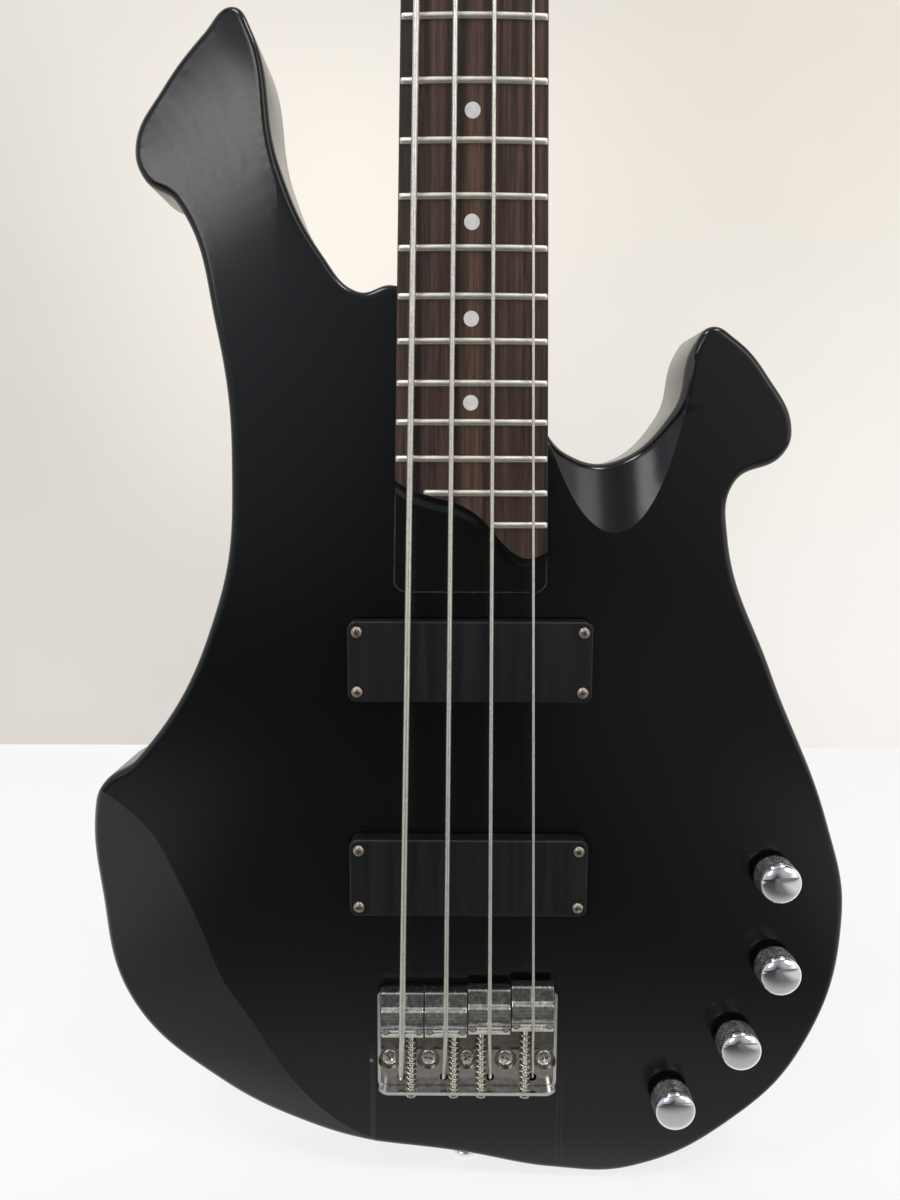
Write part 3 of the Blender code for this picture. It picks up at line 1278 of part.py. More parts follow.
def make_cavity_cover(face):
    low = -BODY_THICKNESS
    mesh = outline_mesh("control_cover", grown(CAVITY, COVER_LEDGE), low,
                        low + COVER_THICKNESS, resolution=2)
    cover = add_mesh("control_cover", mesh, face, "cover_plastic")
    for x, s, _ in cover_screw_places():
        profile = ((0, COVER_SCREW_LENGTH),
                   (COVER_SCREW_RADIUS, COVER_SCREW_LENGTH - COVER_THICKNESS),
                   (COVER_SCREW_RADIUS, COVER_THICKNESS / 2),
                   (COVER_SCREW_HEAD, SCREW_OVERLAP), (0, -COVER_SCREW_RISE))
        join(cover, turned("cover_screw", profile, face, None, (x, s, low), steps=8))


def make_battery(face):
    width, length, height = BATTERY_SIZE
    x, s = BATTERY_AT
    low = -BODY_THICKNESS + COVER_THICKNESS + SEAT_GAP
    mesh = box_mesh("battery", (x - width / 2, s - length / 2, low),
                    (x + width / 2, s + length / 2, low + height))
    battery = add_mesh("battery", mesh, face, "battery")
    round_edges(battery, BATTERY_EDGE_RADIUS, 1, 60)
    for shift, radius in BATTERY_STUDS:
        at = (x + shift, s - length / 2, low + height / 2)
        join(battery, rod_cutter("stud", radius, -STUD_HEIGHT, STUD_HEIGHT, face, at,
                                 (math.pi / 2, 0, 0), 8))


def make_preamp(face):
    width, length, height = BOARD_SIZE
    x, s = BOARD_AT
    roof = CAVITY_ROOF - SEAT_GAP
    mesh = box_mesh("preamp_board", (x - width / 2, s - length / 2, roof - BOARD_THICKNESS),
                    (x + width / 2, s + length / 2, roof))
    board = add_mesh("preamp_board", mesh, face, "circuit")
    for shift, wide, long in BOARD_CHIPS:
        low = (x - wide / 2, s + shift - long / 2, roof - height)
        high = (x + wide / 2, s + shift + long / 2, roof - BOARD_THICKNESS / 2)
        join(board, box_cutter("chip", low, high, face))


def make_jack(face):
    seat = RIGHT_EDGE - JACK_SPOT_DEPTH + SEAT_GAP
    at = (seat, JACK_S, -HALF_BODY)
    bore = JACK_BORE_RADIUS
    floor = JACK_FLANGE - JACK_BORE_DEPTH
    profile = ((0, floor), (bore, floor), (bore, JACK_FLANGE), (JACK_RADIUS, JACK_FLANGE),
               (JACK_FLANGE_RADIUS, JACK_FLANGE - JACK_FLANGE_EDGE), (JACK_FLANGE_RADIUS, 0),
               (JACK_RADIUS, 0), (JACK_RADIUS, -JACK_LENGTH), (0, -JACK_LENGTH))
    turned("output_jack", profile, face, "steel", at, (0, math.pi / 2, 0), 12)


def make_button(face, name, at, turn):
    top = BUTTON_HEIGHT
    edge = BUTTON_EDGE
    profile = ((0, top), (BUTTON_RIM_RADIUS - edge, top), (BUTTON_RIM_RADIUS, top - edge),
               (BUTTON_RIM_RADIUS - edge / 2, top - BUTTON_RIM),
               (BUTTON_WAIST_RADIUS, top - BUTTON_WAIST), (BUTTON_BASE_RADIUS, edge),
               (BUTTON_BASE_RADIUS, 0), (BUTTON_SCREW_RADIUS, 0),
               (BUTTON_SCREW_RADIUS, -BUTTON_SCREW_LENGTH + BUTTON_SCREW_TIP),
               (0, -BUTTON_SCREW_LENGTH))
    turned(name, profile, face, "chrome", at, turn, 12)


def make_neck_plate(face):
    width, length = NECK_PLATE_SIZE
    back = -BODY_THICKNESS - SEAT_GAP
    plan = rounded_rectangle(width, length, NECK_PLATE_CORNER, (0, NECK_PLATE_S))
    mesh = outline_mesh("neck_plate", plan, back - NECK_PLATE_THICKNESS, back, rounded=False)
    plate = add_mesh("neck_plate", mesh, face, "chrome")
    outer = back - NECK_PLATE_THICKNESS
    tip = -BODY_THICKNESS + NECK_SCREW_LENGTH
    for x, s in neck_screw_places():
        profile = ((0, tip), (NECK_SCREW_RADIUS, tip - NECK_SCREW_TIP),
                   (NECK_SCREW_RADIUS, back + SCREW_OVERLAP),
                   (NECK_SCREW_HEAD, outer + SCREW_OVERLAP), (0, outer - NECK_SCREW_RISE))
        join(plate, turned("neck_screw", profile, face, None, (x, s, 0), steps=8))


clear_scene()
PARTS = new_collection("electric_bass_guitar")
CUTTERS = new_collection("cutters")
FACE = new_frame("face_frame", (0, -HALF_BODY, SADDLE_Z), (math.pi / 2, 0, 0))
HEAD = new_frame("head_frame", (0, HEAD_S, WOOD_TOP), (-HEAD_TILT, 0, 0), FACE)

make_body(FACE)
make_neck(FACE, HEAD)
make_fingerboard(FACE)
make_nut(FACE)
make_truss_rod(FACE)
make_rod_cover(HEAD)
make_neck_plate(FACE)
for pickup_place in PICKUP_S:
    make_pickup(FACE, pickup_place)
make_bridge_plate(FACE)
for string_index in range(len(STRINGS)):
    make_saddle(FACE, string_index)
    make_intonation(FACE, string_index)
    make_string(FACE, string_index)
    make_tuner(HEAD, string_index)
for knob_number, knob_place in enumerate(KNOB_AT, 1):
    make_knob(FACE, knob_number, knob_place)
    make_pot(FACE, knob_number, knob_place)
make_cavity_cover(FACE)
make_battery(FACE)
make_preamp(FACE)
make_jack(FACE)
make_button(FACE, "strap_button_tail",
            (0, -TAIL_DEPTH + BUTTON_SPOT_DEPTH - SEAT_GAP, -HALF_BODY), (math.pi / 2, 0, 0))
make_button(FACE, "strap_button_horn",
            (*HORN_BUTTON_AT, -BODY_THICKNESS - SEAT_GAP), (math.pi, 0, 0))
bpy.context.view_layer.update()
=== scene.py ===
"""Looks of the electric bass guitar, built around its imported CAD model.

Pieces on the front are drawn in the face frame, as in the CAD source: x across, s along
the neck from the saddle line, h out from the body's front face, all in metres. The head
frame is the same one, moved to the nut and tilted back.
"""
import math

import bmesh
import bpy
import numpy as np
from mathutils import Matrix, Vector, geometry
from mathutils.bvhtree import BVHTree
from mathutils.kdtree import KDTree


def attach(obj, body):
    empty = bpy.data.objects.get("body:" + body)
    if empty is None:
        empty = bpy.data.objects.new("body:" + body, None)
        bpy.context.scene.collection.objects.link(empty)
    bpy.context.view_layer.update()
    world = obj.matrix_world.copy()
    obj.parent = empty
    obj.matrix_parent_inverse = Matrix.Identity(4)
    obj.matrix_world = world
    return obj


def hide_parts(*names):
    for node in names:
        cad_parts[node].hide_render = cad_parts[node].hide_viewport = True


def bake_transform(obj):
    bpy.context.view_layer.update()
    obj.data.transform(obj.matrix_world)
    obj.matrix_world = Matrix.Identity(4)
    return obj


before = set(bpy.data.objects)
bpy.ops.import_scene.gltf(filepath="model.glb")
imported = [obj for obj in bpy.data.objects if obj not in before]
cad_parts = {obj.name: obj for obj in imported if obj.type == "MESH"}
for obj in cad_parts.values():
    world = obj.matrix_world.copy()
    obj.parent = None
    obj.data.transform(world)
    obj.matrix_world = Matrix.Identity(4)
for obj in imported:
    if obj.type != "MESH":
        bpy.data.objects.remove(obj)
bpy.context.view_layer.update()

MM = 0.001
SEAT_GAP = 0.0003
HALF_BODY = 0.020
BODY_THICKNESS = 0.040
SADDLE_Z = 0.0828
SCALE_LENGTH = 0.8636
HEAD_S = SCALE_LENGTH + 0.005
HEAD_TILT = math.radians(10)
HEAD_THICKNESS = 0.0145
WOOD_TOP = 0.0025
STRINGS = ("e", "a", "d", "g")
STRING_GAUGE = (0.00254, 0.00203, 0.00165, 0.00114)
BRIDGE_STRING_X = (-0.0283, -0.00945, 0.00945, 0.0283)
NUT_STRING_SPACING = 0.00975
NUT_WIDTH = 0.0412
# Half width that the neck gains by its length: 10.7 mm from the nut to fret 24
NECK_FLARE = 0.0107 / (SCALE_LENGTH - SCALE_LENGTH / 4)
HEEL_END = 0.1875
HEEL_CORNER = 0.005
HEEL_PROUD = 0.0006
BOARD_EDGE_TOP = 0.0075
BOARD_RADIUS = 0.305
FRET_COUNT = 24
FRET_HEIGHT = 0.0011
FRET_WIDTH = 0.0027
# How far the board's end stands behind a fret where the fret begins
FRET_BACK = 0.0012
INLAY_LIFT = 0.00006

FACE = Matrix(((1, 0, 0, 0), (0, 0, -1, -HALF_BODY), (0, 1, 0, SADDLE_Z), (0, 0, 0, 1)))
HEAD = FACE @ Matrix.Translation((0, HEAD_S, WOOD_TOP)) @ Matrix.Rotation(-HEAD_TILT, 4, "X")

# Body outline, from the bass side of the neck round to the treble side (mm)
BODY_OUTLINE = ((-32, 311.8), (-46, 309.2), (-60, 323), (-77, 358), (-86.5, 407),
                (-94.8, 417.3), (-107, 409), (-125, 388.4), (-135.8, 367.4), (-132, 353.2),
                (-119, 344), (-104, 296), (-98.9, 240), (-106.5, 181), (-143, 114.5),
                (-157.5, 104), (-164, 90), (-165.4, 48), (-155, -4), (-113.8, -41.5),
                (-70, -59.6), (0, -70.9), (40, -78), (75, -77.6), (120, -54), (151, -17.5),
                (165.1, 44.6), (156, 87), (128, 154), (107.3, 211), (109.3, 233.6),
                (128, 244.2), (131.8, 254), (120.5, 277), (106.5, 291.7), (97, 296),
                (91, 290), (83, 262), (60, 242), (40, 245), (28, 257), (-8, 300))
BODY_EDGE = 0.003
# Bevels: crease on the face, rim beyond the outline and drop at the rim (mm)
FOREARM = (((-162, 103), (-167, 101), 0.5), ((-150, 94.5), (-169, 89), 5.5),
           ((-137, 81), (-170, 70), 10), ((-127, 61), (-170, 47), 13),
           ((-116.8, 36.6), (-167, 20), 14.5), ((-108.5, 14), (-158, -9), 14.5),
           ((-96.5, -5), (-139, -31), 13), ((-84, -26), (-117, -47), 11),
           ((-70.7, -42.9), (-92, -60), 8), ((-56, -55.5), (-67, -67), 4),
           ((-42, -63), (-45, -70), 0.8))
HORN_BEVEL = (((-76, 282), (-112, 278), 0.1), ((-76.2, 300), (-118, 300), 0.6),
              ((-76.6, 326), (-128, 330), 2.4), ((-78, 350), (-140, 358), 6.2),
              ((-80.8, 370), (-136, 385), 9.6), ((-82.4, 388), (-122, 408), 10.3),
              ((-85.5, 407), (-108, 422), 8), ((-87, 416), (-100, 426), 6))
BEVEL_OVERSHOOT = 0.15
SCOOP_APEX = (0.0602, 0.2125)
SCOOP_RADIUS = 0.040
SCOOP_LEAN = math.radians(15)
SCOOP_YAW = math.radians(2.5)
SCOOP_AXIS = Vector((math.sin(SCOOP_YAW) * math.cos(SCOOP_LEAN),
                     -math.cos(SCOOP_YAW) * math.cos(SCOOP_LEAN), math.sin(SCOOP_LEAN)))
BELLY_FADE = (-0.034, 0.222)
BELLY_RADIUS = 0.230
BELLY_LEAN = math.radians(11)
BELLY_AXIS = Vector((-math.cos(BELLY_LEAN), 0, math.sin(BELLY_LEAN)))
# End of the fingerboard, an S drawn across the heel (mm)
BOARD_END = ((-31.5, 234), (-26, 230.7), (-16.1, 227.1), (-7.5, 225), (-0.6, 221.9),
             (5.6, 217), (13.1, 208.3), (18.2, 204), (23.2, 202.3), (31.5, 204.9))
# Floors of the neck pocket, the pickup routs and the strings' holes in the body
POCKET_FLOOR, ROUT_FLOOR, ANCHOR_FLOOR = -0.0175, -0.018, -0.0085
JACK_S = 0.0446
NECK_PLATE_S = 0.2235
PICKUP_WIDTH = 0.1018
PICKUP_LENGTH = 0.0342
PICKUP_S = (0.1592, 0.0651)
PICKUP_TOP = 0.008
KNOB_AT = ((0.1319, 0.0655), (0.1340, 0.0240), (0.1186, -0.0108), (0.0911, -0.0392))
# Control cavity, seen from the front (mm)
CAVITY = ((64, -44), (63, 20), (68, 72), (110, 86), (146, 78), (151, 30), (130, -25),
          (90, -60))
ANCHOR_S = -0.0294
ANCHORS = [(x + math.copysign(0.0008, x), ANCHOR_S) for x in BRIDGE_STRING_X]
# Neck under the board: place along it, depth, roundness of the section
NECK_SHAFT = ((0.318, 0.0197, 0.16), (0.330, 0.0185, 0.35), (0.346, 0.0168, 0.7),
              (0.368, 0.0160, 0.88), (0.8036, 0.0143, 0.92), (0.8516, 0.0143, 0.88),
              (HEAD_S, 0.0158, 0.8))
# From the nut into the headstock: place, half width, depth, roundness
NECK_THROAT = ((0.0, NUT_WIDTH / 2, 0.0158, 0.8), (0.010, 0.0226, 0.0155, 0.6),
               (0.022, 0.0275, 0.0143, 0.4), (0.032, 0.0330, 0.0141, 0.25))
# Half of the headstock's outline, and its tip (mm)
HEAD_HALF = ((20.7, 0.5), (24, 13), (34.5, 32), (38.3, 50), (36.2, 90), (32.5, 135),
             (26, 166))
HEAD_TIP = (0, 180.5)
POST_X = (-0.0225, -0.0195, 0.0195, 0.0225)
POST_T = (0.052, 0.112, 0.112, 0.052)
PLATE_HALF = 0.0395
PLATE_FRONT = 0.0132
PLATE_REAR = -0.0350
REAR_WALL = 0.0014
PLATE_WALL = 0.0013
PLATE_FLOOR = SEAT_GAP + 0.0025
RAIL_TOP = 0.0052
PLATE_SCREW_S = -0.0208
RIDGE_S = (-0.0017, -0.0016, -0.0001, 0.0014)
RIDGE_TOP = 0.0122
# A saddle's top from front to rear: ahead of the ridge and below it (mm)
SADDLE_SIDE = ((15, 5.2), (14.6, 3.9), (13.4, 3.5), (9.2, 3.0), (8.4, 2.9), (7.6, 1.4),
               (7.1, 1.0), (1.6, 0.7), (0.6, 0.12), (0, 0), (-0.7, 0.1), (-1.4, 0.5),
               (-3, 1.6), (-5.2, 2.5), (-5.5, 2.8))
SADDLE_WIDTH = 0.0183
HEIGHT_SCREW_X = 0.0072
SCREW_H = 0.0067
SPRING_CURLS = 10
INTONATION_X = (-0.0247, -0.0059, 0.0061, 0.0254)
ROSEWOOD_TONES = ((0.36, (0.017, 0.009, 0.007)), (0.5, (0.050, 0.025, 0.018)),
                  (0.66, (0.105, 0.052, 0.034)))
# Heights at which the painted highlight lines beside the bridge begin and are full
HIGHLIGHT_LINES_FROM = (SADDLE_Z - 0.014, SADDLE_Z - 0.026)
# Brightness painted onto the bridge plate by height over the body, a painted highlight on the
# step wall among it: from, to, added colour
PLATE_PAINTED_LIGHT = ((0.0029, 0.0031, (0.55, 0.54, 0.52)), (0.0035, 0.0038, (-0.36, -0.35, -0.33)),
               (0.0040, 0.0046, (0.50, 0.51, 0.50)))
# Painted highlight lines beside the bridge, standing in for the lit walls of a shallow channel:
# place across, half width, added grey
HIGHLIGHT_LINES = ((-0.0423, 0.0014, 0.015), (0.0410, 0.0004, 0.008), (0.0430, 0.0003, 0.008))
# A worn chip at the waist corner, and a painted highlight spot where the left highlight line
# begins: centre, radius, added colour
WEAR_AND_HIGHLIGHT_SPOTS = (((-0.1625, -HALF_BODY, SADDLE_Z + 0.1030), 0.0022, (0.09, 0.06, 0.045)),
               ((-0.0428, -HALF_BODY, SADDLE_Z - 0.0245), 0.0012, (0.25, 0.25, 0.24)))
# Screws: radius of head and shank, rise of the dome, tip, depth of the recess
PICKUP_SCREW = (0.00245, 0.0013, 0.0017, -0.034, 0.0012)
BRIDGE_SCREW = (0.0036, 0.0018, 0.0010, -0.016, 0.0015)
ROD_COVER_SCREW = (0.0021, 0.0011, 0.0009, -0.008, 0.0007)
COVER_SCREW = (0.0024, 0.0013, 0.0007, -0.0095, 0.0007)
NECK_SCREW = (0.0041, 0.0021, 0.0009, -0.0340, 0.0016)
STAGE_GLOW = 0.8
# How bright the floor looks in a mirror, by place along Y: pale only under the body
FLOOR_FADE = ((-0.90, 0.04), (-0.30, 0.08), (-0.20, 0.14), (-0.14, 0.28), (-0.10, 0.42),
              (-0.05, 0.50), (-0.02, 1.0))
# The floor's sides in a mirror: where they begin and are full across and along Y, how
# bright they are, and the same for the wide part on the right
FLOOR_MIDDLE = 0.03
FLOOR_SIDES_X, FLOOR_SIDES_Y, FLOOR_SIDES = (0.14, 0.34), (-0.9, -0.25), 0.7
FLOOR_RIGHT_X, FLOOR_RIGHT = (0.02, 0.24), 0.18
FLOOR_END = 0.66
WALL_Y = 2.2
# Painted pools of light on the wall: centre, radius, added colour
WALL_LIGHT_POOLS = (((-0.284, WALL_Y, 1.015), 1.23, (0.28, 0.26, 0.23)),
              ((1.365, WALL_Y, -0.166), 1.72, (0.28, 0.29, 0.30)),
              ((-1.219, WALL_Y, 1.876), 1.107, (0.10, 0.09, 0.08)),
              ((1.242, WALL_Y, 1.384), 1.48, (0.14, 0.12, 0.09)),
              ((-1.096, WALL_Y, -0.216), 1.107, (0.05, 0.05, 0.05)))
# Soft lights of the room: azimuth from straight ahead of the front, elevation, half
# angles where each ends and where it is full, colour
ROOM_LIGHTS = ((-31, 23.5, 14, 4, (4.3, 4.15, 3.95)), (42, 27, 17, 5, (2.0, 1.95, 1.9)),
               (-34, 22, 42, 14, (0.36, 0.40, 0.46)), (40, 20, 42, 14, (0.45, 0.45, 0.45)),
               (80, -5, 48, 26, (0.75, 0.75, 0.75)), (0, 66, 26, 12, (0.4, 0.4, 0.4)),
               (-95, 5, 50, 30, (0.50, 0.52, 0.55)), (180, 10, 88, 60, (0.9, 0.9, 0.9)))
ROOM_DARK = (0.045, 0.045, 0.047)
SKY_SEEN = (0.90, 0.89, 0.87, 1)
# Colour sockets of a mix node
MIX_A, MIX_B, MIX_RESULT = 6, 7, 2
LAMP_POWER = 13
LAMP_SIZE = (0.6, 0.4)
LAMP_AIM = (0, 0, 0.4)
CAMERA_TURN = Vector((0.1304, 0.0015, 0.0042))
CAMERA_PLACE = Vector((-0.007938, -HALF_BODY - 0.373672, SADDLE_Z + 0.233166))


def scene_link(obj):
    bpy.context.scene.collection.objects.link(obj)
    return obj


def mesh_from(name, verts, faces, closed=True):
    """A mesh; a closed one gets its faces turned outward."""
    mesh = bpy.data.meshes.new(name)
    mesh.from_pydata([tuple(v) for v in verts], [], faces)
    mesh.update()
    if closed:
        fix_normals(mesh)
    return mesh


def finished(mesh, mat, angle):
    """The mesh with its material, shaded smooth but for edges sharper than the angle."""
    mesh.materials.clear()
    mesh.materials.append(mat)
    if angle:
        for polygon in mesh.polygons:
            polygon.use_smooth = True
        mesh.set_sharp_from_angle(angle=math.radians(angle))
    return mesh


def piece(name, mesh, mat, replaces, body="instrument", place=FACE, smooth=30,
          weighted=False):
    """A shown piece that rides on a CAD body; its mesh is moved to its place first."""
    mesh = finished(moved(mesh, place), mat, smooth)
    obj = scene_link(bpy.data.objects.new(name, mesh))
    if weighted:
        modifier = obj.modifiers.new("weighted", "WEIGHTED_NORMAL")
        modifier.keep_sharp = True
    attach(obj, body)
    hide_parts(*replaces)


def evaluated(obj):
    """The mesh that an object's modifiers make; the object goes."""
    graph = bpy.context.evaluated_depsgraph_get()
    mesh = bpy.data.meshes.new_from_object(obj.evaluated_get(graph))
    bpy.data.objects.remove(obj)
    return mesh


def carved(mesh, cuts=(), joins=(), bevel=None, segments=3, angle=40):
    """The mesh with rounded edges, then others joined to it and cut from it."""
    obj = scene_link(bpy.data.objects.new("work", mesh))
    if bevel:
        modifier = obj.modifiers.new("round", "BEVEL")
        modifier.width = bevel
        modifier.segments = segments
        modifier.limit_method = "ANGLE"
        modifier.angle_limit = math.radians(angle)
    others = []
    for group, operation in ((joins, "UNION"), (cuts, "DIFFERENCE")):
        for other in group:
            others.append(scene_link(bpy.data.objects.new("tool", other)))
            modifier = obj.modifiers.new("carve", "BOOLEAN")
            modifier.operation = operation
            modifier.solver = "EXACT"
            modifier.object = others[-1]
    result = evaluated(obj)
    for other in others:
        bpy.data.objects.remove(other)
    return result


def moved(mesh, matrix):
    mesh.transform(matrix)
    return mesh


def at(x=0, y=0, z=0, turn=None, axis="X"):
    matrix = Matrix.Translation((x, y, z))
    return matrix @ Matrix.Rotation(turn, 4, axis) if turn else matrix


def box(low, high):
    x0, y0, z0 = low
    x1, y1, z1 = high
    verts = [(x, y, z) for x in (x0, x1) for y in (y0, y1) for z in (z0, z1)]
    faces = [(0, 1, 3, 2), (4, 6, 7, 5), (0, 4, 5, 1), (2, 3, 7, 6), (0, 2, 6, 4), (1, 5, 7, 3)]
    return mesh_from("box", verts, faces, closed=False)


def prism(points, low, high):
    """A flat outline, counterclockwise, filled from height low to high."""
    count = len(points)
    verts = [(x, y, height) for height in (low, high) for x, y in points]
    faces = [tuple(reversed(range(count))), tuple(range(count, 2 * count))]
    faces += [(i, (i + 1) % count, count + (i + 1) % count, count + i) for i in range(count)]
    return mesh_from("prism", verts, faces)


def fix_normals(mesh):
    work = bmesh.new()
    work.from_mesh(mesh)
    bmesh.ops.recalc_face_normals(work, faces=work.faces)
    work.to_mesh(mesh)
    work.free()


def circled(radius, angle, centre=(0, 0)):
    """The point at an angle on a circle."""
    return centre[0] + radius * math.cos(angle), centre[1] + radius * math.sin(angle)


def lathe(profile, steps=48):
    """A turned shape from a profile of (radius, height); its ends on the axis close it."""
    verts = []
    rows = []
    for radius, height in profile:
        if radius < 1e-7:
            rows.append([len(verts)] * steps)
            verts.append((0, 0, height))
        else:
            rows.append(list(range(len(verts), len(verts) + steps)))
            verts += [(*circled(radius, 2 * math.pi * step / steps), height)
                      for step in range(steps)]
    faces = []
    for near, far in zip(rows, rows[1:]):
        for i in range(steps):
            j = (i + 1) % steps
            corners = tuple(dict.fromkeys((near[i], near[j], far[j], far[i])))
            if len(corners) > 2:
                faces.append(corners)
    return mesh_from("lathe", verts, faces)


def rod(radius, low, high, sides=32):
    return lathe(((0, high), (radius, high), (radius, low), (0, low)), sides)


def loft(rings):
    """Closed rings of points joined to one another, both ends filled."""
    count = len(rings[0])
    verts = [tuple(point) for ring in rings for point in ring]
    faces = []
    for low in range(0, len(verts) - count, count):
        for i in range(count):
            j = (i + 1) % count
            faces.append((low + i, low + j, low + count + j, low + count + i))
    faces.append(tuple(reversed(range(count))))
    faces.append(tuple(range(len(verts) - count, len(verts))))
    return mesh_from("loft", verts, faces)


def tube(points, radius, sides=12, swell=None):
    """A closed tube along points, its sections kept from twisting."""
    places = [Vector(point) for point in points]
    rings = []
    side = None
    for index, place in enumerate(places):
        ahead = places[min(index + 1, len(places) - 1)]
        behind = places[max(index - 1, 0)]
        along = (ahead - behind).normalized()
        if side is None:
            side = along.orthogonal().normalized()
        side = (side - along * side.dot(along)).normalized()
        other = along.cross(side)
        size = radius * (swell[index] if swell else 1)
        rings.append([place + (side * math.cos(a) + other * math.sin(a)) * size
                      for a in (2 * math.pi * step / sides for step in range(sides))])
    return loft(rings)


def joined(*meshes):
    work = bmesh.new()
    for mesh in meshes:
        work.from_mesh(mesh)
    result = bpy.data.meshes.new("joined")
    work.to_mesh(result)
    work.free()
    return result


def curve_points(points, resolution, sharp=(), cyclic=True):
    """Points of a smooth curve through the given points, in their own units."""
    curve = bpy.data.curves.new("outline", "CURVE")
    curve.dimensions = "2D"
    curve.fill_mode = "NONE"
    curve.resolution_u = resolution
    spline = curve.splines.new("BEZIER")
    spline.bezier_points.add(len(points) - 1)
    for index, (point, place) in enumerate(zip(spline.bezier_points, points)):
        point.co = (*place, 0)
        kind = "VECTOR" if index in sharp else "AUTO"
        point.handle_left_type = kind
        point.handle_right_type = kind
    spline.use_cyclic_u = cyclic
    mesh = evaluated(scene_link(bpy.data.objects.new("outline", curve)))
    places = [(v.co.x, v.co.y) for v in mesh.vertices]
    if cyclic and (Vector(places[0]) - Vector(places[-1])).length < 1e-6:
        places.pop()
    return places


def resampled(points, spacing, cyclic=True):
    """Points at an even spacing along a polyline."""
    line = np.array(points, float)
    if cyclic:
        line = np.vstack([line, line[:1]])
    length = np.concatenate([[0], np.cumsum(np.linalg.norm(np.diff(line, axis=0), axis=1))])
    count = max(2, int(round(length[-1] / spacing)))
    marks = np.linspace(0, length[-1], count + 1)
    if cyclic:
        marks = marks[:-1]
    return np.column_stack([np.interp(marks, length, line[:, k]) for k in range(2)])


def in_metres(points):
    return [(x * MM, s * MM) for x, s in points]


def corner_arc(centre, radius, start, steps):
    return [circled(radius, start + math.pi / 2 * k / steps, centre)
            for k in range(steps + 1)]


def rounded_rectangle(width, length, radius, centre=(0, 0), steps=6):
    points = []
    for turn, (side, end) in enumerate(((1, 1), (-1, 1), (-1, -1), (1, -1))):
        middle = (centre[0] + side * (width / 2 - radius),
                  centre[1] + end * (length / 2 - radius))
        points += corner_arc(middle, radius, math.pi / 2 * turn, steps)
    return points


def rear_corners(half, low, radius, steps):
    """The two rounded corners at a plan's lower end, from left to right."""
    left, right, level = -half + radius, half - radius, low + radius
    return (corner_arc((left, level), radius, math.pi, steps)
            + corner_arc((right, level), radius, math.pi * 1.5, steps))


def neck_half(s):
    return NUT_WIDTH / 2 + NECK_FLARE * (SCALE_LENGTH - s)


def board_height(x, s):
    edge = math.sqrt(BOARD_RADIUS ** 2 - neck_half(s) ** 2)
    return BOARD_EDGE_TOP + math.sqrt(BOARD_RADIUS ** 2 - x ** 2) - edge


def fret_s(number):
    return SCALE_LENGTH * 2 ** (-number / 12)


def nut_string_x(index):
    return NUT_STRING_SPACING * (index - 1.5)


def nut_string_h(index):
    lift = FRET_HEIGHT + 0.0005 + STRING_GAUGE[index] / 2
    return board_height(nut_string_x(index), SCALE_LENGTH) + lift


def set_inputs(node, values):
    """Give a node's inputs their values, or link them to other nodes' sockets."""
    for key, value in values.items():
        if isinstance(value, bpy.types.NodeSocket):
            node.id_data.links.new(value, node.inputs[key])
        else:
            node.inputs[key].default_value = value


def new_node(tree, kind, values=None, output=0, **settings):
    """The output socket of a new shader node."""
    node = tree.nodes.new("ShaderNode" + kind)
    for key, value in settings.items():
        setattr(node, key, value)
    set_inputs(node, values or {})
    return node.outputs[output]


def math_node(tree, operation, *values):
    return new_node(tree, "Math", dict(enumerate(values)), operation=operation)


def vector_node(tree, operation, values, output=0):
    return new_node(tree, "VectorMath", values, output, operation=operation)


def scaled(tree, colour, factor):
    return vector_node(tree, "SCALE", {0: colour, "Scale": factor})


def added_tint(tree, colour, share, tint):
    """The colour with a share of another colour added."""
    return vector_node(tree, "ADD", {0: colour, 1: scaled(tree, tint, share)})


def with_spots(tree, colour, place, spots):
    """The colour with soft round spots: centre, radius, added colour."""
    for centre, radius, tint in spots:
        away = vector_node(tree, "DISTANCE", {0: place, 1: centre}, "Value")
        colour = added_tint(tree, colour, eased(tree, away, radius, 0), tint)
    return colour


def object_place(tree):
    return new_node(tree, "TexCoord", output="Object")


def split(tree, place):
    """The place's x, y and z."""
    return new_node(tree, "SeparateXYZ", {"Vector": place}).node.outputs


def noise_node(tree, place, scale, detail, **more):
    return new_node(tree, "TexNoise",
                    {"Vector": place, "Scale": scale, "Detail": detail, **more})


def stretched(tree, scale):
    return new_node(tree, "Mapping", {"Vector": object_place(tree), "Scale": scale})


def remapped(tree, value, low, high, bottom, top, **settings):
    return new_node(tree, "MapRange", {"Value": value, "From Min": low, "From Max": high,
                                       "To Min": bottom, "To Max": top}, **settings)


def eased(tree, value, low, high):
    """A socket that rises smoothly from 0 to 1 while value goes from low to high."""
    start, end = (0, 1) if low < high else (1, 0)
    return remapped(tree, value, min(low, high), max(low, high), start, end,
                    interpolation_type="SMOOTHSTEP")


def colour_ramp(tree, value, stops):
    """Colours by value, from stops of (value, colour) in rising order."""
    ramp = new_node(tree, "ValToRGB", {"Fac": value})
    elements = ramp.node.color_ramp.elements
    while len(elements) < len(stops):
        elements.new(0.5)
    for element, (place, _) in zip(elements, stops):
        element.position = place
    for element, (_, colour) in zip(elements, stops):
        element.color = (*colour, 1)
    return ramp


def new_material(name):
    """A material, its node tree and its Principled node."""
    mat = bpy.data.materials.new(name)
    mat.use_nodes = True
    return mat, mat.node_tree, mat.node_tree.nodes["Principled BSDF"]


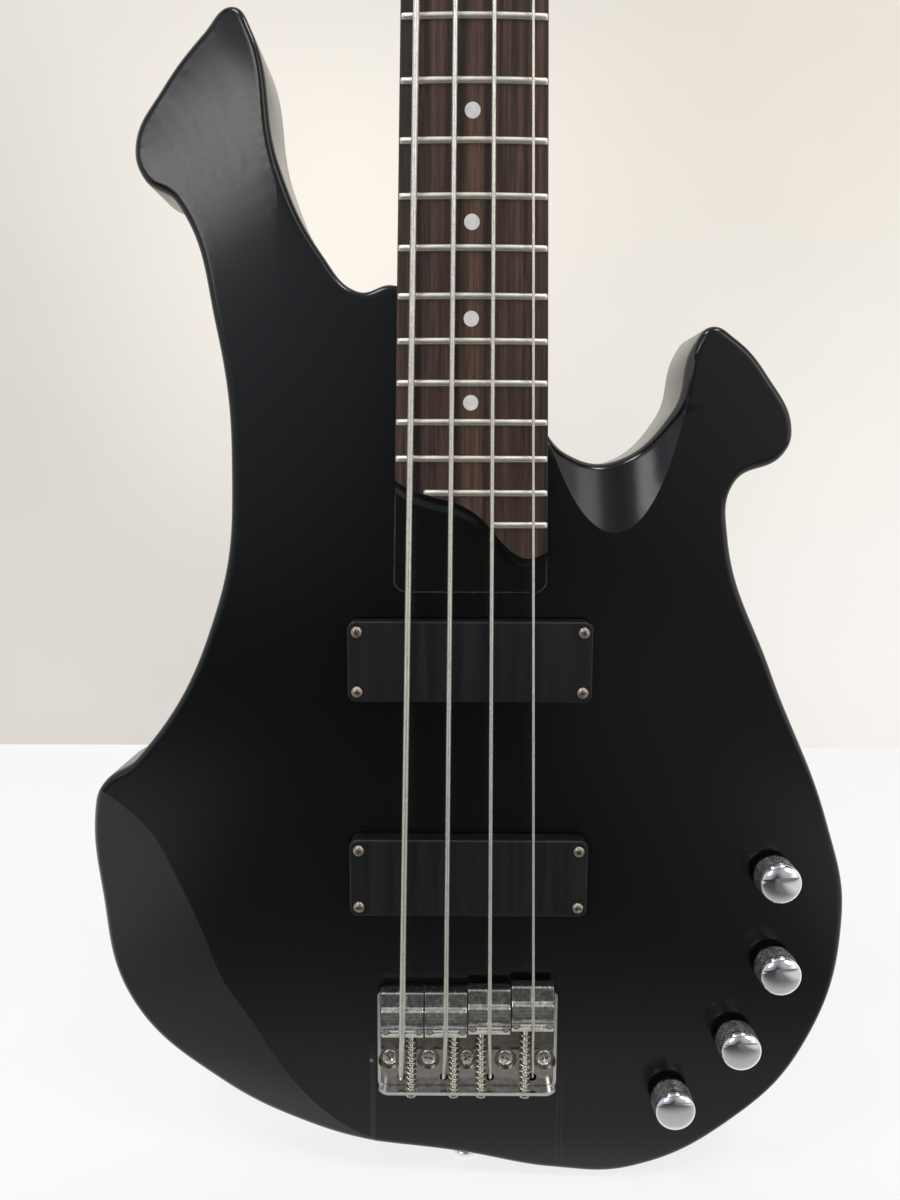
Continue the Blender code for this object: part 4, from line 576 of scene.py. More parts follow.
def shader_material(name, colour, rough, metal=0.0, shade=0.12, grain=300, bump=0.0,
                    bump_scale=3000, stretch=(1, 1, 1), rough_spread=0.08):
    """A Principled surface whose shade, roughness and relief vary with fine noise."""
    mat, tree, shader = new_material(name)
    place = stretched(tree, stretch)
    noise = noise_node(tree, place, grain, 6)
    tone = remapped(tree, noise, 0.3, 0.7, 1 - shade, 1 + shade)
    gloss = remapped(tree, noise, 0.3, 0.7, max(0.0, rough - rough_spread),
                     rough + rough_spread)
    set_inputs(shader, {"Metallic": metal, "Base Color": scaled(tree, colour, tone),
                        "Roughness": gloss})
    if bump:
        add_bump(shader, noise_node(tree, place, bump_scale, 4), bump)
    return mat


def add_bump(shader, height, depth):
    normal = new_node(shader.id_data, "Bump", {"Height": height, "Strength": 1,
                                               "Distance": depth})
    set_inputs(shader, {"Normal": normal})


def base_colour(mat):
    """The material's tree, its shader's colour input, and the colour that goes in."""
    base = mat.node_tree.nodes["Principled BSDF"].inputs["Base Color"]
    return mat.node_tree, base, base.links[0].from_socket


def add_painted_highlights_and_wear(mat):
    """Painted highlight lines beside the bridge down to the tail, standing in for the lit walls
    of a shallow channel, a painted highlight spot where the left one begins, and a worn chip at
    the waist corner.
    """
    tree, base, colour = base_colour(mat)
    place = object_place(tree)
    across, _, up = split(tree, place)
    below = eased(tree, up, *HIGHLIGHT_LINES_FROM)
    # Each line is a painted highlight, fading in toward the tail
    for x, half, tone in HIGHLIGHT_LINES:
        away = math_node(tree, "ABSOLUTE", math_node(tree, "SUBTRACT", across, x))
        share = math_node(tree, "MULTIPLY", eased(tree, away, half, half * 0.6), below)
        colour = added_tint(tree, colour, share, (tone, tone, tone * 1.05))
    # Spots: a painted highlight at the head of the left line, and a worn chip
    tree.links.new(with_spots(tree, colour, place, WEAR_AND_HIGHLIGHT_SPOTS), base)


def add_painted_plate_light(mat):
    """Brightness painted onto the bridge plate by height: a painted highlight on the step wall,
    a dimmer platform, and brighter walls and rails; the deep floor and countersinks stay
    darkest.
    """
    tree, base, colour = base_colour(mat)
    _, depth, _ = split(tree, object_place(tree))
    high = math_node(tree, "SUBTRACT", math_node(tree, "MULTIPLY", depth, -1), HALF_BODY)
    # Each step adds or takes away painted light by height
    for low, full, tone in PLATE_PAINTED_LIGHT:
        colour = added_tint(tree, colour, eased(tree, high, low, full), tone)
    tree.links.new(colour, base)


def rosewood_material():
    """Brown wood with long dark streaks and short open pores along the neck."""
    mat, tree, shader = new_material("rosewood")

    def streaks(across, along, detail):
        return noise_node(tree, stretched(tree, (across, across, along)), 1, detail,
                          Roughness=0.6)

    wood = colour_ramp(tree, streaks(330, 5, 3), ROSEWOOD_TONES)
    pores = streaks(2600, 70, 4)
    tone = remapped(tree, pores, 0.36, 0.5, 0.4, 1.0)
    set_inputs(shader, {"Base Color": scaled(tree, wood, tone), "Roughness": 0.5,
                        "Specular IOR Level": 0.35})
    add_bump(shader, pores, 0.00006)
    return mat


def wound_material():
    """Steel wire wound round a core, as fine ridges across the string."""
    mat = shader_material("string_wound", (0.82, 0.79, 0.71), 0.38, 1.0, shade=0.12, grain=900)
    tree = mat.node_tree
    ridges = new_node(tree, "TexWave", {"Vector": object_place(tree), "Scale": 620,
                                        "Distortion": 0.6, "Detail Scale": 40},
                      "Fac", bands_direction="Z")
    add_bump(tree.nodes["Principled BSDF"], ridges, 0.00005)
    return mat


def floor_fade(tree, place):
    """How bright the floor looks in a mirror: pale under the body and to the sides,
    the sides a little paler toward the wall."""
    x, y, _ = split(tree, place)
    first, last = FLOOR_FADE[0][0], FLOOR_FADE[-1][0]
    stops = [((along - first) / (last - first), (strength,) * 3)
             for along, strength in FLOOR_FADE]
    middle = colour_ramp(tree, remapped(tree, y, first, last, 0, 1), stops)
    away = math_node(tree, "MAXIMUM", math_node(tree, "SUBTRACT", x, FLOOR_MIDDLE),
                     math_node(tree, "MULTIPLY", x, -1))
    near = math_node(tree, "MULTIPLY", eased(tree, y, *FLOOR_SIDES_Y), FLOOR_SIDES)
    sides = math_node(tree, "MULTIPLY", eased(tree, away, *FLOOR_SIDES_X), near)
    right = math_node(tree, "MULTIPLY", eased(tree, x, *FLOOR_RIGHT_X), FLOOR_RIGHT)
    return math_node(tree, "MAXIMUM", middle, math_node(tree, "MAXIMUM", sides, right))


def stage_material(name, base, spots, fades=False):
    """Pale surface that the camera sees at its own brightness and that keeps shadows.
    With fades, its mirror image darkens toward the front."""
    mat, tree, shader = new_material(name)
    tree.nodes.remove(shader)
    place = object_place(tree)
    noise = noise_node(tree, place, 2.5, 2)
    colour = scaled(tree, base, math_node(tree, "MULTIPLY_ADD", noise, 0.06, 0.97))
    colour = with_spots(tree, colour, place, spots)
    rays = new_node(tree, "LightPath").node.outputs
    mirrored_part = glossy = rays["Is Glossy Ray"]
    seen = math_node(tree, "MAXIMUM", rays["Is Camera Ray"], rays["Is Transmission Ray"])
    if fades:
        mirrored_part = math_node(tree, "MULTIPLY", glossy, floor_fade(tree, place))
    strength = math_node(tree, "MULTIPLY_ADD", seen, STAGE_GLOW, mirrored_part)
    glow = new_node(tree, "Emission", {"Color": colour, "Strength": strength})
    direct = math_node(tree, "MULTIPLY_ADD", seen, -STAGE_GLOW, 1)
    lit_part = math_node(tree, "SUBTRACT", direct, glossy)
    pale = new_node(tree, "BsdfDiffuse", {"Color": scaled(tree, colour, lit_part)})
    both = new_node(tree, "AddShader", {0: pale, 1: glow})
    set_inputs(tree.nodes["Material Output"], {"Surface": both})
    return mat


def spline_through(a, b, c, d, t):
    """A point between b and c on the smooth curve through four points."""
    return ((b * 2) + (c - a) * t + (a * 2 - b * 5 + c * 4 - d) * t * t
            + (b * 3 - a - c * 3 + d) * t ** 3) / 2


def smooth_rows(rows, steps):
    """Rows of vectors with steps smooth rows put in after each one."""
    result = []
    for k in range(len(rows) - 1):
        near = rows[max(k - 1, 0)]
        far = rows[min(k + 2, len(rows) - 1)]
        for step in range(steps):
            t = step / steps
            result.append([spline_through(a, b, c, d, t)
                           for a, b, c, d in zip(near, rows[k], rows[k + 1], far)])
    result.append(list(rows[-1]))
    return result


def ruled_surface(stations):
    """A bevel's ruled surface as a search tree, and its crease, both in mm."""
    rows = [[Vector((*crease, 0)), Vector((*rim, -drop))] for crease, rim, drop in stations]
    rows = smooth_rows(rows, 8)
    verts = []
    for inner, outer in rows:
        verts.append(inner + (inner - outer) * BEVEL_OVERSHOOT)
        verts.append(outer + (outer - inner) * BEVEL_OVERSHOOT)
    faces = [(2 * k, 2 * k + 1, 2 * k + 3, 2 * k + 2) for k in range(len(rows) - 1)]
    crease = [(inner.x, inner.y) for inner, _ in rows]
    return BVHTree.FromPolygons(verts, faces), crease


def cylinder_height(x, s, centre, axis, radius, upper):
    """Height in mm of a leaning cylinder's lower or upper surface, or None beside it."""
    bx = x - centre[0]
    bs = s - centre[1]
    along = bx * axis.x + bs * axis.y
    square = 1 - axis.z ** 2
    inside = (axis.z * along) ** 2 - square * (bx * bx + bs * bs - along ** 2 - radius ** 2)
    if inside < 0:
        return None
    root = math.sqrt(inside) * (1 if upper else -1)
    return centre[2] + (axis.z * along + root) / square


def scoop_height(x, s):
    centre = (SCOOP_APEX[0] / MM, SCOOP_APEX[1] / MM,
              SCOOP_RADIUS / MM / math.cos(SCOOP_LEAN))
    if s < centre[1] - 1:
        return None
    return cylinder_height(x, s, centre, SCOOP_AXIS, SCOOP_RADIUS / MM, False)


def belly_height(x, s):
    centre = (BELLY_FADE[0] / MM, BELLY_FADE[1] / MM,
              -BODY_THICKNESS / MM - BELLY_RADIUS / MM / math.cos(BELLY_LEAN))
    if x > centre[0]:
        return None
    return cylinder_height(x, s, centre, BELLY_AXIS, BELLY_RADIUS / MM, True)


def edge_where(height, s, inner, outer):
    """The x between inner and outer at which a sunk surface comes up to the face."""
    for _ in range(40):
        middle = (inner + outer) / 2
        value = height(middle, s)
        if value is not None and value < 0:
            inner = middle
        else:
            outer = middle
    return (inner + outer) / 2


def scoop_crease():
    """The scoop's rim on the face, down its left side and up its right side."""
    left = []
    right = []
    apex_x, apex_s = SCOOP_APEX[0] / MM, SCOOP_APEX[1] / MM
    for step in range(1, 60):
        s = apex_s + 0.03 * step + 0.024 * step ** 2
        middle = apex_x - math.tan(SCOOP_YAW) * (s - apex_s)
        left.append((edge_where(scoop_height, s, middle, middle - 45), s))
        right.append((edge_where(scoop_height, s, middle, middle + 45), s))
    return list(reversed(left)) + [(apex_x, apex_s)] + right


def inside_outline(point, outline):
    """Whether a point lies inside a closed polyline given as an array."""
    x, y = point
    x0, y0 = outline[:, 0], outline[:, 1]
    x1, y1 = np.roll(x0, -1), np.roll(y0, -1)
    crosses = (y0 > y) != (y1 > y)
    rise = np.where(crosses, y1 - y0, 1.0)
    return bool(np.count_nonzero(crosses & (x < x0 + (y - y0) / rise * (x1 - x0))) % 2)


def inset_line(line, inset):
    """A closed polyline moved inward."""
    def unit(rows):
        return rows / np.linalg.norm(rows, axis=1)[:, None]

    first = unit(line - np.roll(line, 1, axis=0))
    second = unit(np.roll(line, -1, axis=0) - line)
    along = unit(first + second)
    spread = np.clip(np.sum(along * first, axis=1), 0.8, 1)
    inward = np.column_stack([-along[:, 1], along[:, 0]])
    return line + inward * (inset / spread)[:, None]


def search_tree(places):
    """A tree that finds the nearest of some flat places."""
    tree = KDTree(len(places))
    for index, place in enumerate(places):
        tree.insert((*place, 0), index)
    tree.balance()
    return tree


def filled(ring, creases, height, fine, coarse):
    """Triangles inside a ring: its points, the creases, and a grid that is fine where
    the surface isn't flat. Gives the points, the triangles, and for each point its
    number in the ring or None."""
    points = [tuple(p) for p in ring]
    edges = []
    for crease in creases:
        last = None
        for p in crease:
            if not inside_outline(p, ring):
                last = None
                continue
            points.append(p)
            if last is not None:
                edges.append((last, len(points) - 1))
            last = len(points) - 1
    near = search_tree(points)
    low = ring.min(axis=0)
    high = ring.max(axis=0)
    step = coarse // fine
    for i in range(int((high[0] - low[0]) / fine) + 1):
        for j in range(int((high[1] - low[1]) / fine) + 1):
            p = (low[0] + i * fine, low[1] + j * fine + 0.5 * fine * (i % 2))
            flat = abs(height(*p)) < 1e-6
            if flat and (i % step or j % step):
                continue
            room = 0.5 * (coarse if flat else fine)
            if near.find((*p, 0))[2] >= room and inside_outline(p, ring):
                points.append(p)
    border = list(range(len(ring)))
    verts, _, faces, origin, _, _ = geometry.delaunay_2d_cdt(
        [Vector(p) for p in points], edges, [border], 1, 1e-5)
    sources = [found[0] if found and found[0] < len(ring) else None for found in origin]
    return verts, faces, sources


def body_mesh():
    """The whole body before its cut-outs, in metres, and its creases, in mm."""
    outline = resampled(curve_points(BODY_OUTLINE, 24), 1.6)
    forearm, forearm_crease = ruled_surface(FOREARM)
    horn, horn_crease = ruled_surface(HORN_BEVEL)
    back_level = -BODY_THICKNESS / MM

    def front(x, s):
        heights = [0.0, scoop_height(x, s)]
        for tree in (forearm, horn):
            hit = tree.ray_cast(Vector((x, s, 100)), Vector((0, 0, -1)))[0]
            heights.append(None if hit is None else hit.z)
        return min(height for height in heights if height is not None)

    def back(x, s):
        rise = belly_height(x, s)
        return back_level if rise is None else max(back_level, rise)

    radius = BODY_EDGE / MM
    steps = 7
    verts = []
    rings = []

    def add_ring(line, heights):
        rings.append(range(len(verts), len(verts) + len(line)))
        verts.extend((x, s, h) for (x, s), h in zip(line, heights))

    def rounding(height, sign, order):
        for step in order:
            angle = math.pi / 2 * step / steps
            line = inset_line(outline, radius * (1 - math.cos(angle)))
            fall = radius * (1 - math.sin(angle))
            add_ring(line, [height(*p) - sign * fall for p in line])

    flat_edge = inset_line(outline, radius + 0.7)
    add_ring(flat_edge, [front(*p) for p in flat_edge])
    rounding(front, 1, range(steps, -1, -1))
    rounding(back, -1, range(0, steps + 1))
    add_ring(flat_edge, [back(*p) for p in flat_edge])

    faces = []
    count = len(outline)
    for near, far in zip(rings, rings[1:]):
        for i in range(count):
            j = (i + 1) % count
            faces.append((near[i], far[i], far[j], near[j]))

    creases = (forearm_crease, horn_crease, scoop_crease())
    for height, ring, lines, fine, coarse, order in (
            (front, rings[0], creases, 2.5, 10.0, 1), (back, rings[-1], (), 4.0, 16.0, -1)):
        level = back_level if height is back else 0

        def sunk(x, s, height=height, level=level):
            return height(x, s) - level

        points, triangles, sources = filled(flat_edge, lines, sunk, fine, coarse)
        index_of = []
        for point, source in zip(points, sources):
            if source is None:
                index_of.append(len(verts))
                verts.append((point[0], point[1], height(point[0], point[1])))
            else:
                index_of.append(ring[source])
        faces += [tuple(index_of[i] for i in triangle[::order]) for triangle in triangles]
    mesh = mesh_from("body", [(x * MM, s * MM, h * MM) for x, s, h in verts], faces)
    return mesh, creases


def sharpen(mesh, creases, angle=32, crease_angle=3, reach=0.0004):
    """Smooth shading that breaks at sharp edges and along the creases (in mm)."""
    tree = search_tree([(x * MM, s * MM) for crease in creases
                        for x, s in resampled(crease, 0.4, False)])
    work = bmesh.new()
    work.from_mesh(mesh)
    for face in work.faces:
        face.smooth = True
    for edge in work.edges:
        turn = edge.calc_face_angle(0)
        smooth = turn < math.radians(angle)
        if smooth and turn > math.radians(crease_angle):
            middle = (edge.verts[0].co + edge.verts[1].co) / 2
            beside = tree.find((middle.x, middle.y, 0))[2] < reach
            smooth = not (beside and abs(middle.z) < 0.0003)
        edge.smooth = smooth
    work.to_mesh(mesh)
    work.free()


def hole(x, s, radius, low, high, sides=32):
    return moved(rod(radius, low, high, sides), at(x, s, 0))


def heel_plan(grow, top):
    """The neck's outline from its heel up, made wider all round."""
    return ([(neck_half(top) + grow, top), (-neck_half(top) - grow, top)]
            + rear_corners(neck_half(HEEL_END) + grow, HEEL_END - grow, HEEL_CORNER + grow, 8))


def make_body():
    mesh, creases = body_mesh()
    up = 0.010
    wells = [prism(heel_plan(SEAT_GAP, 0.345), POCKET_FLOOR, up)]
    for s in PICKUP_S:
        plan = rounded_rectangle(PICKUP_WIDTH + 0.0012, PICKUP_LENGTH + 0.0012, 0.0046,
                                 (0, s), 8)
        wells.append(prism(plan, ROUT_FLOOR, up))
    wells += [hole(x, s, 0.0040, ANCHOR_FLOOR, up) for x, s in ANCHORS]
    side = at(0.1639, JACK_S, -HALF_BODY, math.pi / 2, "Y")
    tail = at(0, -0.0695, -HALF_BODY, math.pi / 2)
    groups = (wells,
              [prism(curve_points(in_metres(CAVITY), 8), -0.045, -0.007)],
              [prism(curve_points(grown(CAVITY, 0.0059), 8), -0.050, -0.0377)],
              [hole(x, s, 0.0049, -0.015, up) for x, s in KNOB_AT],
              [moved(rod(0.0103, 0, up, 40), side)],
              [moved(rod(0.0066, -0.030, up), side)],
              [moved(rod(0.0059, 0, up), tail)])
    mesh = carved(mesh, [joined(*group) for group in groups])
    sharpen(mesh, creases)
    piece("body_wood", mesh, PAINT, ("body",), smooth=0)


def grown(points, distance):
    places = [Vector(point) for point in in_metres(points)]
    result = []
    for index, place in enumerate(places):
        before = places[index - 1]
        after = places[(index + 1) % len(places)]
        along = (after - before).normalized()
        result.append(tuple(place + Vector((-along.y, along.x)) * distance))
    return result


def neck_ring(s, half, top, depth, power, points=36):
    ring = []
    for step in range(points + 1):
        angle = math.pi * step / points
        across = math.copysign(abs(math.cos(angle)) ** power, math.cos(angle))
        drop = math.sin(angle) ** power if 0 < step < points else 0
        ring.append(Vector((half * across, s, top - depth * drop)))
    return ring


def head_to_face(point):
    x, t, g = point
    cos = math.cos(HEAD_TILT)
    sin = math.sin(HEAD_TILT)
    return Vector((x, HEAD_S + t * cos + g * sin, WOOD_TOP - t * sin + g * cos))


def mirrored(half, tip):
    treble = in_metres(half)
    return treble + in_metres((tip,)) + [(-x, s) for x, s in reversed(treble)]


def board_end_plan(shift):
    """Everything towards the tail of the board's S-shaped end, moved along the neck."""
    curve = curve_points([(x * MM, s * MM + shift) for x, s in BOARD_END], 12, cyclic=False)
    side = 0.050
    low = HEEL_END - 0.010
    corners = [(side, curve[-1][1]), (side, low), (-side, low), (-side, curve[0][1])]
    return list(reversed(curve + corners))


def board_end_cut(shift):
    return prism(board_end_plan(shift), -0.01, 0.02)


def finer(rows, spacing):
    """Stations at an even spacing, their sizes eased between the given ones."""
    table = np.array(rows)
    count = int((table[-1, 0] - table[0, 0]) / spacing) + 1
    places = np.linspace(table[0, 0], table[-1, 0], count)
    columns = []
    for k in range(1, table.shape[1]):
        values = np.interp(places, table[:, 0], table[:, k])
        padded = np.concatenate([values[:1], values, values[-1:]])
        columns.append((padded[:-2] + 2 * padded[1:-1] + padded[2:]) / 4)
    return [tuple(row) for row in np.column_stack([places, *columns])]


def make_neck():
    rings = []
    for step in range(9):
        angle = math.pi / 2 * step / 8
        s = HEEL_END + HEEL_CORNER * (1 - math.cos(angle))
        half = neck_half(HEEL_END) - HEEL_CORNER * (1 - math.sin(angle))
        rings.append(neck_ring(s, half, WOOD_TOP, 0.0197, 0.16))
    for s, depth, power in finer(NECK_SHAFT, 0.006):
        rings.append(neck_ring(s, neck_half(min(s, SCALE_LENGTH)), WOOD_TOP, depth, power))
    for t, half, depth, power in finer(NECK_THROAT, 0.003)[1:]:
        ring = neck_ring(t, half, -0.0004, depth, power)
        rings.append([head_to_face(point) for point in ring])
    ends = (0, 2 * len(HEAD_HALF))
    plan = resampled(curve_points(mirrored(HEAD_HALF, HEAD_TIP), 12, ends), 0.0016)
    slab = carved(prism([tuple(p) for p in plan], -HEAD_THICKNESS, 0), bevel=0.0022,
                  segments=4, angle=50)
    tilt = FACE.inverted() @ HEAD
    step_cut = loft([[(x, s, h) for x, s in board_end_plan(shift)]
                     for shift, h in ((-0.0052, HEEL_PROUD), (0.0003, 0.0045))])
    rod_slot = box((-0.0033, 0.2447, -0.0071), (0.0033, HEAD_S + 0.012, 0.010))
    holes = [box((-0.006, 0.0018, -0.0105), (0.006, 0.034, 0.010))]
    holes += [hole(x, t, 0.0067, -0.030, 0.010) for x, t in zip(POST_X, POST_T)]
    cuts = [step_cut, rod_slot, moved(joined(*holes), tilt)]
    shape = carved(loft(rings), cuts, [moved(slab, tilt)])
    piece("neck_wood", shape, NECK_PAINT, ("neck",), weighted=True)


def make_heel_edge():
    """A thin tube along the heel's edge in lighter paint, a painted highlight on that edge."""
    low, high = HEEL_END + HEEL_CORNER, 0.228
    line = [(-neck_half(s), s) for s in np.linspace(high, low, 12)]
    line += rear_corners(neck_half(HEEL_END), HEEL_END, HEEL_CORNER, 8)
    line += [(neck_half(s), s) for s in np.linspace(low, high - 0.022, 12)]
    places = [(x, s, HEEL_PROUD - 0.00028) for x, s in resampled(line, 0.0012, False)]
    piece("heel_edge", tube(places, 0.0004, 10), EDGE_HIGHLIGHT_PAINT, ("neck",), smooth=60)


def make_fingerboard():
    edge = 0.0007
    rings = []
    for s in np.linspace(0.1955, SCALE_LENGTH - SEAT_GAP, 60):
        half = neck_half(s)
        top = [(half * k / 12, s, board_height(half * k / 12, s)) for k in range(-10, 11)]
        side = board_height(half, s)
        corner = [(half, WOOD_TOP + SEAT_GAP), (half, side - edge),
                  (half - edge * 0.3, side - edge * 0.3),
                  (half - edge, board_height(half - edge, s))]
        rings.append([(-x, s, h) for x, h in corner] + top
                     + [(x, s, h) for x, h in reversed(corner)])
    shape = carved(loft(rings), [board_end_cut(0)])
    piece("board_wood", shape, ROSEWOOD, ("fingerboard",), smooth=28, weighted=True)

    curve = curve_points(in_metres(BOARD_END), 12, cyclic=False)
    bars = []
    for number in range(1, FRET_COUNT + 1):
        s = fret_s(number)
        reach = neck_half(s) - 0.0004
        start = -reach
        for (x0, s0), (x1, s1) in zip(curve, curve[1:]):
            if (s0 - s + FRET_BACK) * (s1 - s + FRET_BACK) < 0:
                slope = abs(x1 - x0) / max(abs(s1 - s0), 0.0001)
                start = x1 - FRET_BACK * slope + 0.0018
        bar = fret_bar(s, max(start, -reach), reach)
        bars.append(carved(bar, [board_end_cut(0.0003)]) if start > -reach else bar)
    piece("frets", joined(*bars), NICKEL, ("fingerboard",), smooth=40)

    dots = []
    for number in (3, 5, 7, 9, 12, 15, 17, 19, 21):
        s = (fret_s(number) + fret_s(number - 1)) / 2
        for x in ((-0.0095, 0.0095) if number == 12 else (-0.0005,)):
            dots.append(inlay(x, s))
    piece("inlay_dots", joined(*dots), PEARL, ("fingerboard",), smooth=40)


def fret_bar(s, start, reach):
    """A crowned wire across the board, with ends that slope and round off."""
    half = FRET_WIDTH / 2
    section = [(math.cos(a), math.sin(a)) for a in (math.pi * k / 10 for k in range(11))]
    length = reach - start
    stops = [(0, 0.55), (0.0004, 0.85), (0.0012, 1)]
    across = [(start + d, size) for d, size in stops]
    across += [(start + length * k / 10, 1) for k in range(1, 10)]
    across += [(reach - d, size) for d, size in reversed(stops)]
    across.sort()
    rings = []
    for x, size in across:
        base = board_height(x, s)
        ring = [(x, s + half * c * (0.6 + 0.4 * size), base + FRET_HEIGHT * size * v)
                for c, v in section]
        ring += [(x, s - half * 0.9, base - 0.0004), (x, s + half * 0.9, base - 0.0004)]
        rings.append(ring)
    return loft(rings)


def inlay(x, s, radius=0.00302):
    """A round dot that follows the board's curve."""
    steps = 32
    verts = []
    for lift in (-0.0010, INLAY_LIFT):
        for k in range(steps):
            px, ps = circled(radius, 2 * math.pi * k / steps, (x, s))
            verts.append((px, ps, board_height(px, s) + lift))
    verts.append((x, s, board_height(x, s) + INLAY_LIFT))
    faces = [tuple(reversed(range(steps)))]
    for k in range(steps):
        j = (k + 1) % steps
        faces += [(k, j, steps + j, steps + k), (steps + k, steps + j, 2 * steps)]
    return mesh_from("inlay", verts, faces)


def make_nut():
    half = NUT_WIDTH / 2 - 0.0002
    top = max(nut_string_h(index) for index in range(4)) + 0.0008
    arch = []
    for k in range(-10, 11):
        x = (half - 0.0003) * k / 10
        arch.append((x, board_height(x, SCALE_LENGTH) - board_height(0, SCALE_LENGTH) + top))
    low = WOOD_TOP + SEAT_GAP
    profile = [(half, low), (half, arch[-1][1] - 0.0003)] + list(reversed(arch))
    profile += [(-half, arch[0][1] - 0.0003), (-half, low)]
    ahead = [(x, SCALE_LENGTH, h) for x, h in profile]
    behind = [(x, HEAD_S, h - (0.0004 if h > low else 0)) for x, h in profile]
    slots = []
    for index, gauge in enumerate(STRING_GAUGE):
        wide = gauge / 2 + 0.00025
        place = (nut_string_x(index), HEAD_S, nut_string_h(index))
        slots.append(moved(rod(wide, -0.01, 0.01, 24), at(*place, -math.pi / 2)))
        slots.append(moved(box((-wide, 0, -0.01), (wide, 0.01, 0.01)),
                           at(*place, math.pi / 2)))
    shape = carved(loft([ahead, behind]), slots, bevel=0.0004, segments=2, angle=50)
    piece("nut_block", shape, NUT_BLACK, ("nut",), weighted=True)


def sinks(places, rim, bottom, depth, steps, lip=0.0004):
    """Countersinks at some places, as one shape to cut away."""
    profile = ((0, lip), (rim, lip), (bottom, -depth), (0, -depth))
    return joined(*[moved(lathe(profile, steps), place) for place in places])


def make_pickups():
    for name, s in zip(("neck", "bridge"), PICKUP_S):
        plan = rounded_rectangle(PICKUP_WIDTH, PICKUP_LENGTH, 0.0036, (0, s), 5)
        shell = carved(prism(plan, PICKUP_TOP - 0.024, PICKUP_TOP), bevel=0.0009, angle=60)
        places = [(side * 0.0468, s + end * 0.0126) for end in (1, -1) for side in (-1, 1)]
        ways = [hole(x, t, 0.0016, -0.030, 0.012, 20) for x, t in places]
        tops = [at(x, t, PICKUP_TOP) for x, t in places]
        shell = carved(shell, [joined(*ways), sinks(tops, 0.0028, 0.0024, 0.0003, 32)])
        piece("pickup_%s_cover" % name, shell, PICKUP_PLASTIC, ("pickup_" + name,),
              weighted=True)
        for number, (x, t) in enumerate(places, 1):
            node = "pickup_%s_screw_%d" % (name, number)
            add_screw(node + "_steel", PICKUP_SCREW, RUSTY_NICKEL, (node,),
                      at(x, t, PICKUP_TOP + SEAT_GAP, 0.5 * number, "Z"))


def cross_screw(head, shank, rise, tip, depth):
    """A domed screw with a cross recess; its head sits on height 0."""
    dome = [(head * math.sin(a), rise * (0.25 + 0.75 * math.cos(a)))
            for a in (math.pi / 2 * k / 7 for k in range(8))]
    body = lathe([(0, rise)] + dome[1:] + [(head, 0), (shank, 0), (shank, tip + 0.002),
                                           (0, tip)], 32)
    arm = head * 0.62
    wide = head * 0.14
    cuts = []
    for turn in (0, math.pi / 2):
        rings = [[(-x, -y, h), (x, -y, h), (x, y, h), (-x, y, h)]
                 for x, y, h in ((arm * 0.35, wide * 0.4, rise - depth),
                                 (arm, wide, rise + 0.0002))]
        cuts.append(moved(loft(rings), Matrix.Rotation(turn, 4, "Z")))
    return carved(body, cuts)


def cross_slots(half, thin, low, high):
    """Two crossing slots to cut from a screw's head."""
    return [box((-x, -y, low), (x, y, high)) for x, y in ((half, thin), (thin, half))]


def add_screw(name, sizes, mat, replaces, turn, place=FACE):
    piece(name, moved(cross_screw(*sizes), turn), mat, replaces, place=place, smooth=35)


def plate_plan(wall, rear_wall, front_corners):
    """The bridge plate's outline, inside a wall of some thickness."""
    return list(front_corners) + rear_corners(PLATE_HALF - wall, PLATE_REAR + rear_wall,
                                              0.005 - wall, 10)


def make_bridge():
    base = PLATE_FLOOR
    half = PLATE_HALF
    corners = ((half, PLATE_FRONT - 0.003), (half - 0.0027, PLATE_FRONT),
               (-half + 0.0027, PLATE_FRONT), (-half, PLATE_FRONT - 0.003))
    plate = prism(plate_plan(0, 0, corners), SEAT_GAP, 0.0088)
    inside = half - PLATE_WALL
    front = PLATE_FRONT + 0.010
    top = 0.020
    tray = prism(plate_plan(PLATE_WALL, REAR_WALL, ((inside, front), (-inside, front))),
                 base + 0.0010, top)
    step = PLATE_REAR + REAR_WALL + 0.0012
    trim = box((-0.050, step, RAIL_TOP), (0.050, front, top))
    floor = box((-inside, -0.0164, base), (inside, front, top))
    screws = [0.01715 * k for k in range(-2, 3)]
    scallops = [hole(x, PLATE_SCREW_S, 0.0050, base, top, 48) for x in screws]
    seats = [at(x, PLATE_SCREW_S, base) for x in screws]
    holes = [hole(x, s, 0.0019, -0.010, 0.010, 24) for x, s in ANCHORS]
    holes += [moved(rod(0.00165, -0.0034, 0.010, 24), at(x, PLATE_REAR, SCREW_H, math.pi / 2))
              for x in INTONATION_X]
    plate = carved(plate, [tray, trim, floor, joined(*scallops)])
    plate = carved(plate, [sinks(seats, 0.0041, 0.0026, 0.0011, 40), joined(*holes)],
                   bevel=0.00045)
    piece("bridge_plate_chrome", plate, PLATE_CHROME, ("bridge_plate",), weighted=True)
    for number, x in enumerate(screws, 1):
        add_screw("bridge_screw_%d" % number, BRIDGE_SCREW, DULL_CHROME, ("bridge_plate",),
                  at(x, PLATE_SCREW_S, base - 0.0003, 0.7 * number, "Z"))


